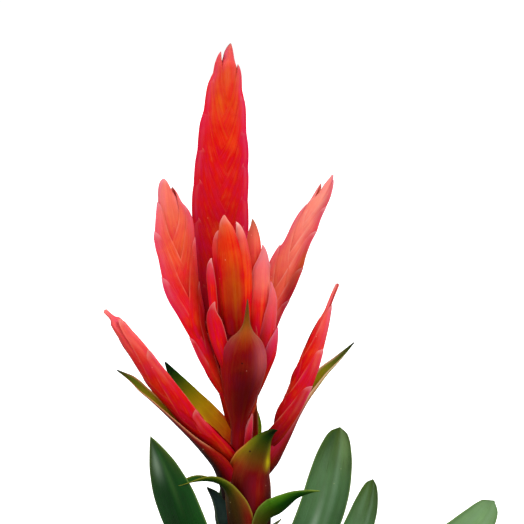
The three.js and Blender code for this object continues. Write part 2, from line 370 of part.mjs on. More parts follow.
// Each piece keeps a clearance to the ones before it: where it would touch them, it is cut back.
const group = new THREE.Group();
const done = [];
for (const p of pieces) {
  let m = body(p, 0);
  for (const q of done) {
    if (p.family === q.family && (p.family === 'top' || p.family === 'leaf')) {
      // nested neighbours: cut only where they would run into each other
      if (!meet(boxOf(m), boxOf(q.solid)) || m.intersect(q.solid).volume() < 0.001) continue;
      m = m.subtract(body(q, 0.1));
      continue;
    }
    q.fat ??= body(q, GAP);
    q.box ??= boxOf(q.fat);
    if (!meet(boxOf(m), q.box)) continue;
    m = m.subtract(q.fat);
  }
  const parts = m.decompose();
  m = parts.reduce((a, b) => (b.volume() > a.volume() ? b : a));
  m = m.simplify(p.family === 'top' ? TRIM_TOLERANCE / 4 : TRIM_TOLERANCE);
  p.solid = m;
  const mesh = m.getMesh(), g = new THREE.BufferGeometry();
  g.setAttribute('position', new THREE.BufferAttribute(new Float32Array(mesh.vertProperties), 3));
  g.setIndex(new THREE.BufferAttribute(new Uint32Array(mesh.triVerts), 1));
  g.computeVertexNormals();
  const material = new THREE.MeshStandardMaterial({ color: p.colour, roughness: 0.45, metalness: 0 });
  const node = new THREE.Mesh(g, material);
  node.name = p.name;
  group.add(node);
  done.push(p);
}

export default group;
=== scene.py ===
# A branched bromeliad (tillandsia hybrid), bare, standing on the flat cut foot of its stem.
# Tables are in millimetres, like the CAD; every mesh is made in metres in the same frame.
import math
import bpy
import numpy as np
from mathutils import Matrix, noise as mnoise


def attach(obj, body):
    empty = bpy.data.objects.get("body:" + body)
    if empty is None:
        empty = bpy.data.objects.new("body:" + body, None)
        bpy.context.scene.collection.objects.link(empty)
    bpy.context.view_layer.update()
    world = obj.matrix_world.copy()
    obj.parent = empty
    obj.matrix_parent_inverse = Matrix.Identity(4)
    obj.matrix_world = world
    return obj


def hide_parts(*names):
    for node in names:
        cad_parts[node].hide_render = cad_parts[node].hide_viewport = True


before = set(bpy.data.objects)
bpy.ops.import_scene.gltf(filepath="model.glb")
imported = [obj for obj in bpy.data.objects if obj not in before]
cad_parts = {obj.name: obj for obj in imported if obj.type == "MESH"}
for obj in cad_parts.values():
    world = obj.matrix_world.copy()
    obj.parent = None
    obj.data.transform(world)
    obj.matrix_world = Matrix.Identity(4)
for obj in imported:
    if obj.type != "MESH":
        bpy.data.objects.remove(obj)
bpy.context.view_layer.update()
MM = 0.001

# ------------------------------------------------------------------ the same measures as the CAD
STEM = [[0, 0, 0], [0.3, 0, 40], [1, 0, 80], [1.4, 0, 120], [0, 0, 155], [-4.6, 0, 185.2], [-7.1, 0, 211.3], [-10.9, 1, 243.7], [-14.1, 1, 276.1], [-17, 2, 308.2], [-18.2, 2, 333.9], [-17.8, 3, 359.5], [-16.5, 3, 385], [-14.9, 4, 410.4], [-13.3, 4, 429.5]]

# flat spikes: centre line, turn of the flat face, and bracts [side, foot, tip, tip distance]
SPIKES = [
    dict(name="top_spike", yaw=8, open0=2.3, open=0.072, r0=2.2,
         axis=[[-4.6, 0, 185.2], [-7.1, 0, 211.3], [-10.9, 1, 243.7], [-14.1, 1, 276.1], [-17, 2, 308.2], [-18.2, 2, 333.9], [-17.8, 3, 359.5], [-16.5, 3, 385], [-14.9, 4, 410.4], [-13.3, 4, 429.5], [-12.3, 4, 439.6]],
         bracts=[[-1, 27.5, 81.5, 16.5], [1, 41.7, 96.7, 10.9], [-1, 49.1, 106.1, 17.4], [1, 61.1, 119.1, 14.6],
                 [-1, 69.5, 129.5, 17.3], [1, 79.8, 140.8, 16.4], [-1, 86.4, 147.4, 17.3], [1, 100.1, 161.1, 16.1],
                 [-1, 110.7, 170.7, 17.1], [1, 122.9, 181.9, 15.8], [-1, 132.8, 190.8, 15.5], [1, 146.6, 202.6, 14.1],
                 [-1, 159.7, 213.7, 13], [1, 172.8, 224.8, 10.1], [-1, 184.8, 234.8, 9.4], [1, 196.7, 243.7, 5.9],
                 [-1, 206.4, 250.4, 4.4], [1, 213.9, 255.9, 0.4]]),
    dict(name="left_spike", yaw=34, open0=2, open=0.075, r0=1.6,
         axis=[[-10, -2, 192.1], [-16.7, -7, 214.4], [-26.8, -9, 237.4], [-33.1, -11, 253.8], [-37.5, -12, 264.8], [-44.3, -14, 288.8], [-48, -15, 313.1], [-51.7, -15, 334.1], [-54.5, -14, 354.9]],
         bracts=[[1, 5.9, 65.9, 12.2], [-1, 7.4, 69.4, 5.6], [1, 40.3, 100.3, 17.1], [-1, 44.8, 110.8, 12.2],
                 [1, 70.1, 128.1, 16.8], [-1, 73.6, 139.6, 11.7], [1, 100.1, 152.1, 12.9], [-1, 100.7, 156.7, 6.3],
                 [1, 121.4, 165.4, 5.6], [-1, 124.9, 170.9, 0.7]]),
    dict(name="right_spike", yaw=-20, open0=2, open=0.075, r0=1.6,
         axis=[[-0.1, 2.5, 190], [1.9, 4, 212.6], [7.1, 5, 243.1], [15.4, 6, 272.2], [23.8, 6, 296.2], [30.2, 6, 312.3], [37.2, 6, 329.1], [44.2, 6, 341.9], [53.1, 6, 356.4]],
         bracts=[[-1, 6.2, 66.2, 2.8], [1, 30.7, 90.7, 9.2], [-1, 47.3, 109.3, 11], [1, 55.9, 117.9, 10.5],
                 [-1, 64.9, 122.9, 8.3], [1, 79.4, 139.4, 10], [-1, 98.7, 148.7, 5.2], [1, 103.5, 157.5, 8.1],
                 [1, 122.8, 174.8, 4], [-1, 124.8, 168.8, 4], [1, 135.8, 177.8, 0.8]]),
    dict(name="low_left_spike", yaw=-48, open0=1.9, open=0.08, r0=1.6,
         axis=[[-8.4, -4, 170.3], [-14.8, -8, 178.9], [-24.3, -11, 188.5], [-35.1, -14, 198.8], [-47.1, -17, 213.5], [-59.6, -19, 229.3], [-72.7, -21, 248.1], [-80.8, -22, 259.8], [-86.4, -23, 267.2], [-91.6, -23, 272.3]],
         bracts=[[1, 5, 50, 8.5], [-1, 10, 58, 8.5], [-1, 24, 84, 9], [1, 29, 97, 8],
                 [-1, 44, 118, 5], [1, 52.5, 134.5, 0.5]]),
    dict(name="low_right_spike", yaw=-60, open0=1.9, open=0.07, r0=1.6,
         axis=[[4.5, -3, 172.7], [10.9, -5, 182.9], [17.3, -6, 192.8], [25, -7, 207.3], [32.7, -8, 225], [39, -8, 242.4], [44.7, -8, 257.9], [50.4, -8, 274], [56.4, -8, 288.7]],
         bracts=[[-1, 4, 48, 7.5], [1, 11, 61, 8], [-1, 24, 80, 7.5], [1, 35, 97, 7.5],
                 [-1, 51, 113, 4], [-1, 57, 127, 0.5], [1, 60, 120, 3]]),
    dict(name="inner_right_spike", yaw=-32, open0=2, open=0.07, r0=1.6,
         axis=[[-1, -4.5, 200.4], [3.2, -8, 217.8], [7.1, -11, 239], [8.3, -14, 261.9], [7.1, -17, 284.7], [4.9, -20, 307.2], [2, -22, 330.2]],
         bracts=[[-1, -19.7, 30.3, 5.2], [-1, 0.3, 58.3, 9.7], [1, 2.4, 62.4, 10.6], [1, 33.8, 93.8, 8.8],
                 [-1, 34.7, 88.7, 10.2], [1, 62, 116, 4.2], [-1, 69.5, 115.5, 7.8], [1, 88.5, 132.5, 0]]),
    dict(name="front_spike", yaw=28, open0=2, open=0.078, r0=1.6,
         axis=[[-5.1, -6, 191.5], [-5.7, -10, 213], [-8.2, -15, 239.6], [-10.7, -20, 265.9], [-11.8, -25, 285.6], [-13, -30, 305.1], [-14.2, -34, 320.6], [-15.5, -37, 334]],
         bracts=[[1, 15.1, 75.1, 9.2], [-1, 35.1, 91.1, 11.9], [1, 45.2, 105.2, 14.4], [-1, 58.7, 120.7, 12.8],
                 [-1, 72.5, 146.5, 0.4], [-1, 78, 138, 5.9], [1, 84.3, 140.3, 7.4]]),
    dict(name="back_spike", yaw=8, open0=2.2, open=0.07, r0=2,
         axis=[[-2, 5.5, 196], [-4, 12, 214], [-6, 21, 236], [-8, 29, 262], [-10, 35, 288], [-12, 40, 314]],
         bracts=[[-1, 14, 66, 10.5], [1, 22, 78, 11], [-1, 33, 88, 10.5], [1, 43, 97, 10],
                 [-1, 53, 105, 9], [1, 62, 112, 7.5], [-1, 70, 118, 5.5], [1, 77, 123, 2]]),
]

# clasping bracts: keel line, rows [t, half chord, half angle], and the side that faces inwards
SHEETS = [
    dict(name="primary_bract_front", thickness=0.7, keel=0.06, inner0=[0, 1, 0.1], inner1=[0, 1, 0.1],
         spine=[[-8.4, -7.5, 178.8], [-7.7, -10, 193.5], [-6.3, -17, 214.1], [-4.3, -25, 233.4], [-3, -31, 248.3], [-2.3, -35, 259], [-1.7, -38, 269.5], [-1.3, -40, 281.7]],
         rows=[[0, 4.2, 80], [0.14, 4.6, 80], [0.34, 10, 66], [0.43, 12.8, 62], [0.52, 15.4, 58], [0.63, 17.6, 54], [0.7, 16.6, 50], [0.75, 13, 48], [0.79, 8.5, 45], [0.83, 5, 42], [0.875, 2.6, 40], [0.93, 1.4, 35], [1, 0.4, 30]]),
    dict(name="primary_bract_low_left", thickness=0.7, keel=0.12, inner0=[0.5, 0.5, 0.75], inner1=[0.45, -0.55, 0.75],
         spine=[[-6.4, -9, 158.2], [-18, -10, 164.9], [-28.8, -10.5, 176.1], [-38.4, -12, 187.4], [-49.7, -15, 200.3], [-63.6, -18, 215], [-75.5, -20, 227.5], [-84.9, -21, 234.1]],
         rows=[[0, 9.5, 80], [0.15, 10.5, 75], [0.35, 10.5, 65], [0.55, 8.6, 58], [0.72, 6.8, 52], [0.85, 4.2, 45], [0.94, 2, 40], [1, 0.4, 30]]),
    dict(name="primary_bract_low_right", thickness=0.7, keel=0.12, inner0=[-0.6, 0.3, 0.7], inner1=[-0.7, -0.35, 0.6],
         spine=[[7.7, -6, 152.4], [13.5, -5, 161.3], [21.2, -4, 177.5], [28.3, -3, 193.6], [36.7, -1, 210.9], [47, 1, 226.2], [57.3, 3, 237.6], [67.6, 4, 248.5]],
         rows=[[0, 9, 80], [0.15, 10, 75], [0.33, 9.5, 66], [0.52, 8.6, 58], [0.7, 7.2, 52], [0.84, 4.6, 45], [0.94, 2.2, 40], [1, 0.4, 30]]),
    dict(name="primary_bract_left", thickness=0.7, keel=0.08, inner0=[0.7, -0.7, 0.5], inner1=[0.5, -0.85, 0.5],
         spine=[[-7.9, 9, 175.7], [-16.4, 12, 184.4], [-27.5, 15, 195], [-39.2, 18, 207.1], [-49, 20, 220.6], [-55.9, 22, 233.1]],
         rows=[[0, 6.5, 70], [0.2, 8.2, 60], [0.45, 9, 48], [0.65, 7.6, 42], [0.82, 5, 38], [0.93, 2.4, 34], [1, 0.4, 30]]),
    dict(name="primary_bract_inner_right", thickness=0.7, keel=0.1, inner0=[-1, 0.2, 0.1], inner1=[-1, 0.1, 0.1],
         spine=[[3.8, -4, 178.1], [3.8, -3.5, 185.9], [4.2, -3, 195.6], [4.2, -3, 204]],
         rows=[[0, 4.2, 85], [0.35, 4.8, 78], [0.7, 3.4, 60], [1, 0.5, 30]]),
    dict(name="primary_bract_right", thickness=0.7, keel=0.1, inner0=[-0.1, -1, 0.1], inner1=[-0.1, -1, 0.2],
         spine=[[1.2, 9, 177], [4.4, 13, 184.2], [5.4, 17, 192.7], [3.5, 22, 203.1]],
         rows=[[0, 5.5, 70], [0.35, 7, 60], [0.7, 4.2, 48], [0.9, 1.8, 40], [1, 0.4, 30]]),
    dict(name="scape_bract_front", thickness=0.8, keel=0.08, inner0=[0.1, 1, 0.1], inner1=[-0.3, 0.7, 0.6],
         spine=[[0, -15, 129.5], [0.3, -15.5, 145.9], [1.3, -15, 162], [3.9, -15, 175], [9, -17, 186.4], [14.1, -20, 193.4], [17.7, -25, 195.8]],
         rows=[[0, 13, 85], [0.2, 14, 80], [0.42, 15.5, 72], [0.6, 14, 60], [0.74, 10, 50], [0.86, 6, 45], [0.95, 2.4, 40], [1, 0.5, 30]]),
    dict(name="scape_bract_left", thickness=0.8, keel=0.08, inner0=[0.55, 0.8, 0.2], inner1=[0.1, 0.35, 0.9],
         spine=[[-4.5, -16, 123.2], [-7.7, -16.5, 136.3], [-12.1, -18, 146.4], [-18.5, -20, 155.3], [-27.3, -22, 161.2], [-36.2, -23, 162], [-44.5, -24, 160]],
         rows=[[0, 13, 80], [0.2, 13, 72], [0.4, 11, 60], [0.58, 8.2, 48], [0.75, 5.6, 42], [0.9, 2.8, 38], [1, 0.4, 30]]),
    dict(name="scape_bract_right", thickness=0.8, keel=0.08, inner0=[-0.5, 0.8, 0.2], inner1=[-0.1, 0.35, 0.9],
         spine=[[3.2, -16.5, 120], [7.7, -17, 132.5], [12.8, -19, 144.7], [19.8, -21, 150.3], [27.5, -22, 153.4], [35.7, -23, 155.5], [45.6, -24, 156.3]],
         rows=[[0, 13, 80], [0.2, 13, 72], [0.4, 10, 60], [0.58, 7.6, 48], [0.75, 5, 42], [0.9, 2.4, 38], [1, 0.4, 30]]),
    dict(name="primary_bract_back", thickness=0.7, keel=0.08, inner0=[0.1, -1, 0.1], inner1=[0.3, -0.9, 0.5],
         spine=[[-2, 7.6, 178], [-3.5, 12, 196], [-6, 20, 214], [-10, 27, 232], [-15, 33, 248]],
         rows=[[0, 6.5, 70], [0.3, 8.2, 60], [0.6, 7.4, 50], [0.82, 4.6, 42], [0.94, 2, 36], [1, 0.4, 30]]),
    dict(name="scape_bract_back", thickness=0.7, keel=0.08, inner0=[0.139, -0.99, 0.1], inner1=[0.07, -0.495, 0.8],
         spine=[[-1, 7.3, 138], [-1.1, 7.7, 156.9], [-1.3, 9.5, 171.5], [-1.9, 13.9, 183.4], [-2.7, 19.2, 190.4]],
         rows=[[0, 6.975, 86], [0.3, 7.5, 80], [0.55, 6.45, 66], [0.75, 4.65, 54], [0.9, 2.25, 44], [1, 0.4, 30]]),
    dict(name="scape_bract_low_right", thickness=0.7, keel=0.08, inner0=[-0.978, -0.208, 0.1], inner1=[-0.489, -0.104, 0.8],
         spine=[[8, 1.7, 84], [8.4, 1.8, 101.5], [10.2, 2.2, 115], [15, 3.2, 126], [20.7, 4.4, 132.5]],
         rows=[[0, 6.975, 86], [0.3, 7.5, 80], [0.55, 6.45, 66], [0.75, 4.65, 54], [0.9, 2.25, 44], [1, 0.4, 30]]),
    dict(name="scape_bract_low_back", thickness=0.7, keel=0.08, inner0=[0.469, -0.883, 0.1], inner1=[0.235, -0.441, 0.8],
         spine=[[-4, 7.6, 92], [-4.2, 7.9, 112.3], [-5.1, 9.5, 128], [-7.9, 14.9, 140.7], [-11.1, 20.8, 148.3]],
         rows=[[0, 6.975, 86], [0.3, 7.5, 80], [0.55, 6.45, 66], [0.75, 4.65, 54], [0.9, 2.25, 44], [1, 0.4, 30]]),
    dict(name="scape_bract_low_left", thickness=0.7, keel=0.08, inner0=[0.8, -0.4, 0.3], inner1=[0.5, -0.3, 0.8],
         spine=[[-6.6, 0.5, 102.2], [-10.5, 1.5, 113.9], [-13.7, 3, 126.8], [-18.3, 5.5, 139.5], [-23.5, 8, 147.5], [-28.7, 9.5, 152.5]],
         rows=[[0, 8, 82], [0.3, 8, 74], [0.55, 6.8, 62], [0.75, 4.9, 52], [0.9, 2.6, 42], [1, 0.4, 30]]),
    dict(name="scape_bract_low_front", thickness=0.7, keel=0.08, inner0=[0.139, 0.99, 0.1], inner1=[0.07, 0.495, 0.8],
         spine=[[-1.3, -9.3, 62], [-1.4, -9.7, 80.9], [-1.6, -11.5, 95.5], [-2.3, -16.4, 107.4], [-3.1, -22.2, 114.4]],
         rows=[[0, 6.975, 86], [0.3, 7.5, 80], [0.55, 6.45, 66], [0.75, 4.65, 54], [0.9, 2.25, 44], [1, 0.4, 30]]),
]

# rosette leaves, inner ones first
LEAVES = [
    dict(name="leaf_01", azimuth=109, sweep=18.8, length=140.6, radius=11.6, foot=14,
         width=15, twist=0, point=1, lift=[90, 86.2, 79, 77.2, 73.6, 65.3]),
    dict(name="leaf_02", azimuth=205.7, sweep=-3.1, length=190.1, radius=12.55, foot=13.25,
         width=14.5, twist=58, point=1.5, lift=[90, 82.2, 66.9, 67.7, 71.4, 69]),
    dict(name="leaf_03", azimuth=318, sweep=0, length=165, radius=13.5, foot=12.5,
         width=15.5, twist=0, point=1, lift=[90, 84, 60, 38, 6, -18]),
    dict(name="leaf_04", azimuth=36.2, sweep=-2.2, length=185.8, radius=14.45, foot=11.75,
         width=15.5, twist=40, point=0.8, lift=[90, 82.8, 62.3, 62.4, 74.9, 76.6]),
    dict(name="leaf_05", azimuth=2.9, sweep=-1.5, length=165.6, radius=15.4, foot=11,
         width=13.5, twist=42, point=1, lift=[90, 75.1, 53.1, 53.9, 69.9, 83.6]),
    dict(name="leaf_06", azimuth=160, sweep=-4, length=185, radius=16.35, foot=10.25,
         width=16.5, twist=0, point=1, lift=[90, 83, 57, 30, -2, -26]),
    dict(name="leaf_07", azimuth=268, sweep=2, length=182, radius=17.3, foot=9.5,
         width=16.5, twist=0, point=1, lift=[90, 82, 56, 31, 0, -26]),
    dict(name="leaf_08", azimuth=68, sweep=0, length=192, radius=18.25, foot=8.75,
         width=17, twist=0, point=1, lift=[90, 80, 48, 22, -10, -34]),
    dict(name="leaf_09", azimuth=343.9, sweep=-1.1, length=217.4, radius=22.05, foot=5.75,
         width=15.5, twist=18, point=0.8, lift=[90, 75.3, 37, 24.7, 40, 62.2]),
    dict(name="leaf_10", azimuth=222, sweep=-3, length=205, radius=20.15, foot=7.25,
         width=17, twist=0, point=1, lift=[90, 79, 48, 8, -26, -46]),
    dict(name="leaf_11", azimuth=106, sweep=-3, length=226, radius=21.1, foot=6.5,
         width=17.5, twist=0, point=1, lift=[90, 77, 36.3, -22.6, -81.1, -90.4]),
    dict(name="leaf_12", azimuth=308, sweep=0, length=232, radius=19.2, foot=8,
         width=17.5, twist=0, point=1, lift=[90, 77, 37.8, -24.9, -85.8, -96.7]),
    dict(name="leaf_13", azimuth=180, sweep=3, length=224, radius=23, foot=5,
         width=17.5, twist=0, point=1, lift=[90, 76, 35.8, -21.8, -75.5, -85.4]),
    dict(name="leaf_14", azimuth=39, sweep=-2, length=222, radius=23.95, foot=4.25,
         width=17.5, twist=0, point=1, lift=[90, 75, 35.2, -21.2, -72.4, -82.6]),
    dict(name="leaf_15", azimuth=262, sweep=2, length=220, radius=24.9, foot=3.5,
         width=17.5, twist=0, point=1, lift=[90, 74, 33.5, -20.4, -68.8, -77.3]),
    dict(name="leaf_16", azimuth=136, sweep=4, length=218, radius=25.85, foot=2.75,
         width=17.5, twist=0, point=1, lift=[90, 73, 31.9, -19.7, -65.4, -72.3]),
    dict(name="leaf_17", azimuth=334, sweep=2, length=216, radius=26.8, foot=2,
         width=17.5, twist=0, point=1, lift=[90, 72, 30.2, -19.2, -62.3, -67.5]),
]

# ------------------------------------------------------------------ curves and profiles
def unit(a):
    a = np.asarray(a, float)
    return a / np.maximum(np.linalg.norm(a, axis=-1, keepdims=True), 1e-9)


def across(a, t):
    """The part of a that stands square to t."""
    return unit(a - (a * t).sum(-1, keepdims=True) * t)


class Curve:
    def __init__(self, points):
        P = self.P = np.array(points, float)
        n = len(P)
        self.c = np.concatenate([[0], np.cumsum(np.linalg.norm(np.diff(P, axis=0), axis=1))])
        a = np.maximum(np.arange(n) - 1, 0)
        b = np.minimum(np.arange(n) + 1, n - 1)
        self.m = (P[b] - P[a]) / (self.c[b] - self.c[a])[:, None]
        self.length = self.c[-1]

    def at(self, x):
        x = np.atleast_1d(np.asarray(x, float))
        y = np.clip(x, 0, self.length)
        over = (x - y)[:, None]
        i = np.clip(np.searchsorted(self.c, y, side="right") - 1, 0, len(self.c) - 2)
        h = (self.c[i + 1] - self.c[i])[:, None]
        f = (y[:, None] - self.c[i][:, None]) / h
        f2, f3 = f * f, f * f * f
        p = ((2 * f3 - 3 * f2 + 1) * self.P[i] + (f3 - 2 * f2 + f) * h * self.m[i]
             + (-2 * f3 + 3 * f2) * self.P[i + 1] + (f3 - f2) * h * self.m[i + 1])
        return p + over * np.where(over < 0, self.m[0], self.m[-1])

    def tangent(self, x):
        x = np.atleast_1d(np.asarray(x, float))
        return unit(self.at(np.minimum(x + 0.5, self.length)) - self.at(np.maximum(x - 0.5, 0)))


def profile(rows, k=1):
    t = np.array([r[0] for r in rows], float)
    v = np.array([r[k] for r in rows], float)
    d = np.diff(v) / np.diff(t)
    m = np.empty(len(t))
    m[0], m[-1] = d[0], d[-1]
    for i in range(1, len(t) - 1):
        m[i] = 0 if d[i - 1] * d[i] <= 0 else 2 * d[i - 1] * d[i] / (d[i - 1] + d[i])

    def f(x):
        x = np.clip(np.asarray(x, float), t[0], t[-1])
        i = np.clip(np.searchsorted(t, x, side="right") - 1, 0, len(t) - 2)
        h = t[i + 1] - t[i]
        q = (x - t[i]) / h
        q2, q3 = q * q, q * q * q
        return ((2 * q3 - 3 * q2 + 1) * v[i] + (q3 - 2 * q2 + q) * h * m[i]
                + (-2 * q3 + 3 * q2) * v[i + 1] + (q3 - q2) * h * m[i + 1])
    return f


def smooth(lo, hi, x):
    x = np.clip((np.asarray(x, float) - lo) / (hi - lo), 0, 1)
    return x * x * (3 - 2 * x)


# ------------------------------------------------------------------ colour helpers
def rgb(code):
    """A colour such as '#c8001a', as the linear values that the shaders use."""
    c = np.array([int(code[i:i + 2], 16) / 255 for i in (1, 3, 5)])
    c = np.where(c <= 0.04045, c / 12.92, ((c + 0.055) / 1.055) ** 2.4)
    return np.maximum(c * 1.04 - 0.022, 0.0010)      # the skin's gloss adds this much back


def ramp(stops, x):
    """Smooth colour between stops [(position, colour), ...]."""
    t = np.array([s[0] for s in stops], float)
    c = np.array([rgb(s[1]) for s in stops])
    x = np.asarray(x, float)
    return np.stack([np.interp(x, t, c[:, k]) for k in range(3)], -1)


def blend(a, b, k):
    k = np.asarray(k, float)[..., None]
    return a * (1 - k) + b * k


def wobble(P, scale, seed=0.0):
    """Smooth noise, about -1 to 1, at points in millimetres."""
    Q = np.asarray(P, float).reshape(-1, 3) * scale + seed
    return np.array([mnoise.noise(q) for q in Q]).reshape(np.asarray(P).shape[:-1])


# ------------------------------------------------------------------ meshes
def shell(name, outer, inner, tip, uv, tone_out, tone_in, tip_tone, material, nodes, sharp=50):
    """A closed thin sheet from two grids of points (rows from foot to tip), closed on a tip point."""
    nu, nv = outer.shape[:2]
    ring = np.concatenate([outer, inner[:, ::-1]], axis=1)
    tone = np.concatenate([tone_out, tone_in[:, ::-1]], axis=1)
    coord = np.concatenate([uv, uv[:, ::-1]], axis=1)
    n = 2 * nv
    verts = np.concatenate([ring.reshape(-1, 3), [tip]]) * MM
    faces = []
    for i in range(nu - 1):
        for k in range(n):
            a, b = i * n + k, i * n + (k + 1) % n
            faces.append((a, b, b + n, a + n))
    for k in range(nv - 1):
        faces.append((k, n - 1 - k, n - 2 - k, k + 1))
    top, base = len(verts) - 1, (nu - 1) * n
    for k in range(n):
        faces.append((base + k, base + (k + 1) % n, top))
    tones = np.concatenate([tone.reshape(-1, 3), [tip_tone]])
    coords = np.concatenate([coord.reshape(-1, 2), [[coord[-1, :, 0].max(), 0.5]]])
    return solid(name, verts, faces, tones, coords, material, nodes, sharp)


def solid(name, verts, faces, tones, coords, material, nodes, sharp=50):
    verts = np.asarray(verts)
    V = sum(np.dot(verts[f[0]], np.cross(verts[f[1]], verts[f[2]])) + (
        np.dot(verts[f[0]], np.cross(verts[f[2]], verts[f[3]])) if len(f) == 4 else 0) for f in faces)
    if V < 0:
        faces = [tuple(reversed(f)) for f in faces]
    mesh = bpy.data.meshes.new(name)
    mesh.from_pydata(verts.tolist(), [], faces)
    mesh.update()
    layer = mesh.uv_layers.new(name="Along")
    idx = np.empty(len(mesh.loops), int)
    mesh.loops.foreach_get("vertex_index", idx)
    layer.data.foreach_set("uv", np.asarray(coords)[idx].astype(np.float32).ravel())
    attr = mesh.color_attributes.new(name="Tone", type="FLOAT_COLOR", domain="POINT")
    rgba = np.concatenate([np.clip(tones, 0, 1), np.ones((len(tones), 1))], axis=1)
    attr.data.foreach_set("color", rgba.astype(np.float32).ravel())
    mesh.polygons.foreach_set("use_smooth", np.ones(len(mesh.polygons), bool))
    mesh.set_sharp_from_angle(angle=math.radians(sharp))
    mesh.materials.append(material)
    obj = bpy.data.objects.new(name, mesh)
    bpy.context.scene.collection.objects.link(obj)
    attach(obj, "root")
    if nodes:
        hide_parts(*nodes)
    return obj


# ------------------------------------------------------------------ materials
def tree(name):
    mat = bpy.data.materials.new(name)
    mat.use_nodes = True
    nt = mat.node_tree
    nt.nodes.clear()
    return mat, nt


class Net:
    """Short ways to add nodes and join them."""
    def __init__(self, name):
        self.mat, self.nt = tree(name)

    def add(self, kind, **props):
        node = self.nt.nodes.new("ShaderNode" + kind)
        for k, v in props.items():
            setattr(node, k, v)
        return node

    def link(self, a, b):
        self.nt.links.new(a, b)

    def math(self, op, a, b=None, c=None, clamp=False):
        node = self.add("Math", operation=op, use_clamp=clamp)
        for i, v in enumerate((a, b, c)):
            if v is None:
                continue
            if isinstance(v, (int, float)):
                node.inputs[i].default_value = v
            else:
                self.link(v, node.inputs[i])
        return node.outputs[0]

    def scaled(self, source, scale, loc=(0, 0, 0)):
        node = self.add("Mapping")
        self.link(source, node.inputs["Vector"])
        node.inputs["Scale"].default_value = scale
        node.inputs["Location"].default_value = loc
        return node.outputs[0]

    def noise(self, source, scale, detail=3.0, rough=0.5, distortion=0.0):
        node = self.add("TexNoise")
        self.link(source, node.inputs["Vector"])
        node.inputs["Scale"].default_value = scale
        node.inputs["Detail"].default_value = detail
        node.inputs["Roughness"].default_value = rough
        node.inputs["Distortion"].default_value = distortion
        return node.outputs[0]

    def spots(self, source, scale, randomness=1.0):
        node = self.add("TexVoronoi", feature="F1")
        self.link(source, node.inputs["Vector"])
        node.inputs["Scale"].default_value = scale
        node.inputs["Randomness"].default_value = randomness
        return node.outputs["Distance"], node.outputs["Color"]

    def range(self, value, a, b, c=0.0, d=1.0, kind="SMOOTHSTEP"):
        node = self.add("MapRange", interpolation_type=kind, clamp=True) if kind == "LINEAR" else self.add(
            "MapRange", interpolation_type=kind)
        self.link(value, node.inputs["Value"])
        for key, v in (("From Min", a), ("From Max", b), ("To Min", c), ("To Max", d)):
            node.inputs[key].default_value = v
        return node.outputs["Result"]

    def mix(self, factor, a, b, mode="MIX"):
        node = self.add("Mix", data_type="RGBA", blend_type=mode, clamp_result=True)
        for sock, v in ((node.inputs[0], factor), (node.inputs[6], a), (node.inputs[7], b)):
            if isinstance(v, (int, float)):
                sock.default_value = v
            elif isinstance(v, (tuple, list, np.ndarray)):
                sock.default_value = (*v[:3], 1)
            else:
                self.link(v, sock)
        return node.outputs[2]

    def tint(self, colour, value=1.0, hue=0.5, sat=1.0):
        node = self.add("HueSaturation")
        self.link(colour, node.inputs["Color"])
        for key, v in (("Hue", hue), ("Saturation", sat), ("Value", value)):
            if isinstance(v, (int, float)):
                node.inputs[key].default_value = v
            else:
                self.link(v, node.inputs[key])
        return node.outputs[0]

    def bump(self, height, strength, distance, normal=None):
        node = self.add("Bump")
        node.inputs["Strength"].default_value = strength
        node.inputs["Distance"].default_value = distance
        self.link(height, node.inputs["Height"])
        if normal is not None:
            self.link(normal, node.inputs["Normal"])
        return node.outputs[0]

    def finish(self, colour, rough, normal, **consts):
        p = self.add("BsdfPrincipled")
        self.link(colour, p.inputs["Base Color"])
        self.link(rough, p.inputs["Roughness"])
        self.link(normal, p.inputs["Normal"])
        for k, v in consts.items():
            p.inputs[k.replace("_", " ")].default_value = v
        out = self.add("OutputMaterial")
        self.link(p.outputs[0], out.inputs["Surface"])
        return self.mat


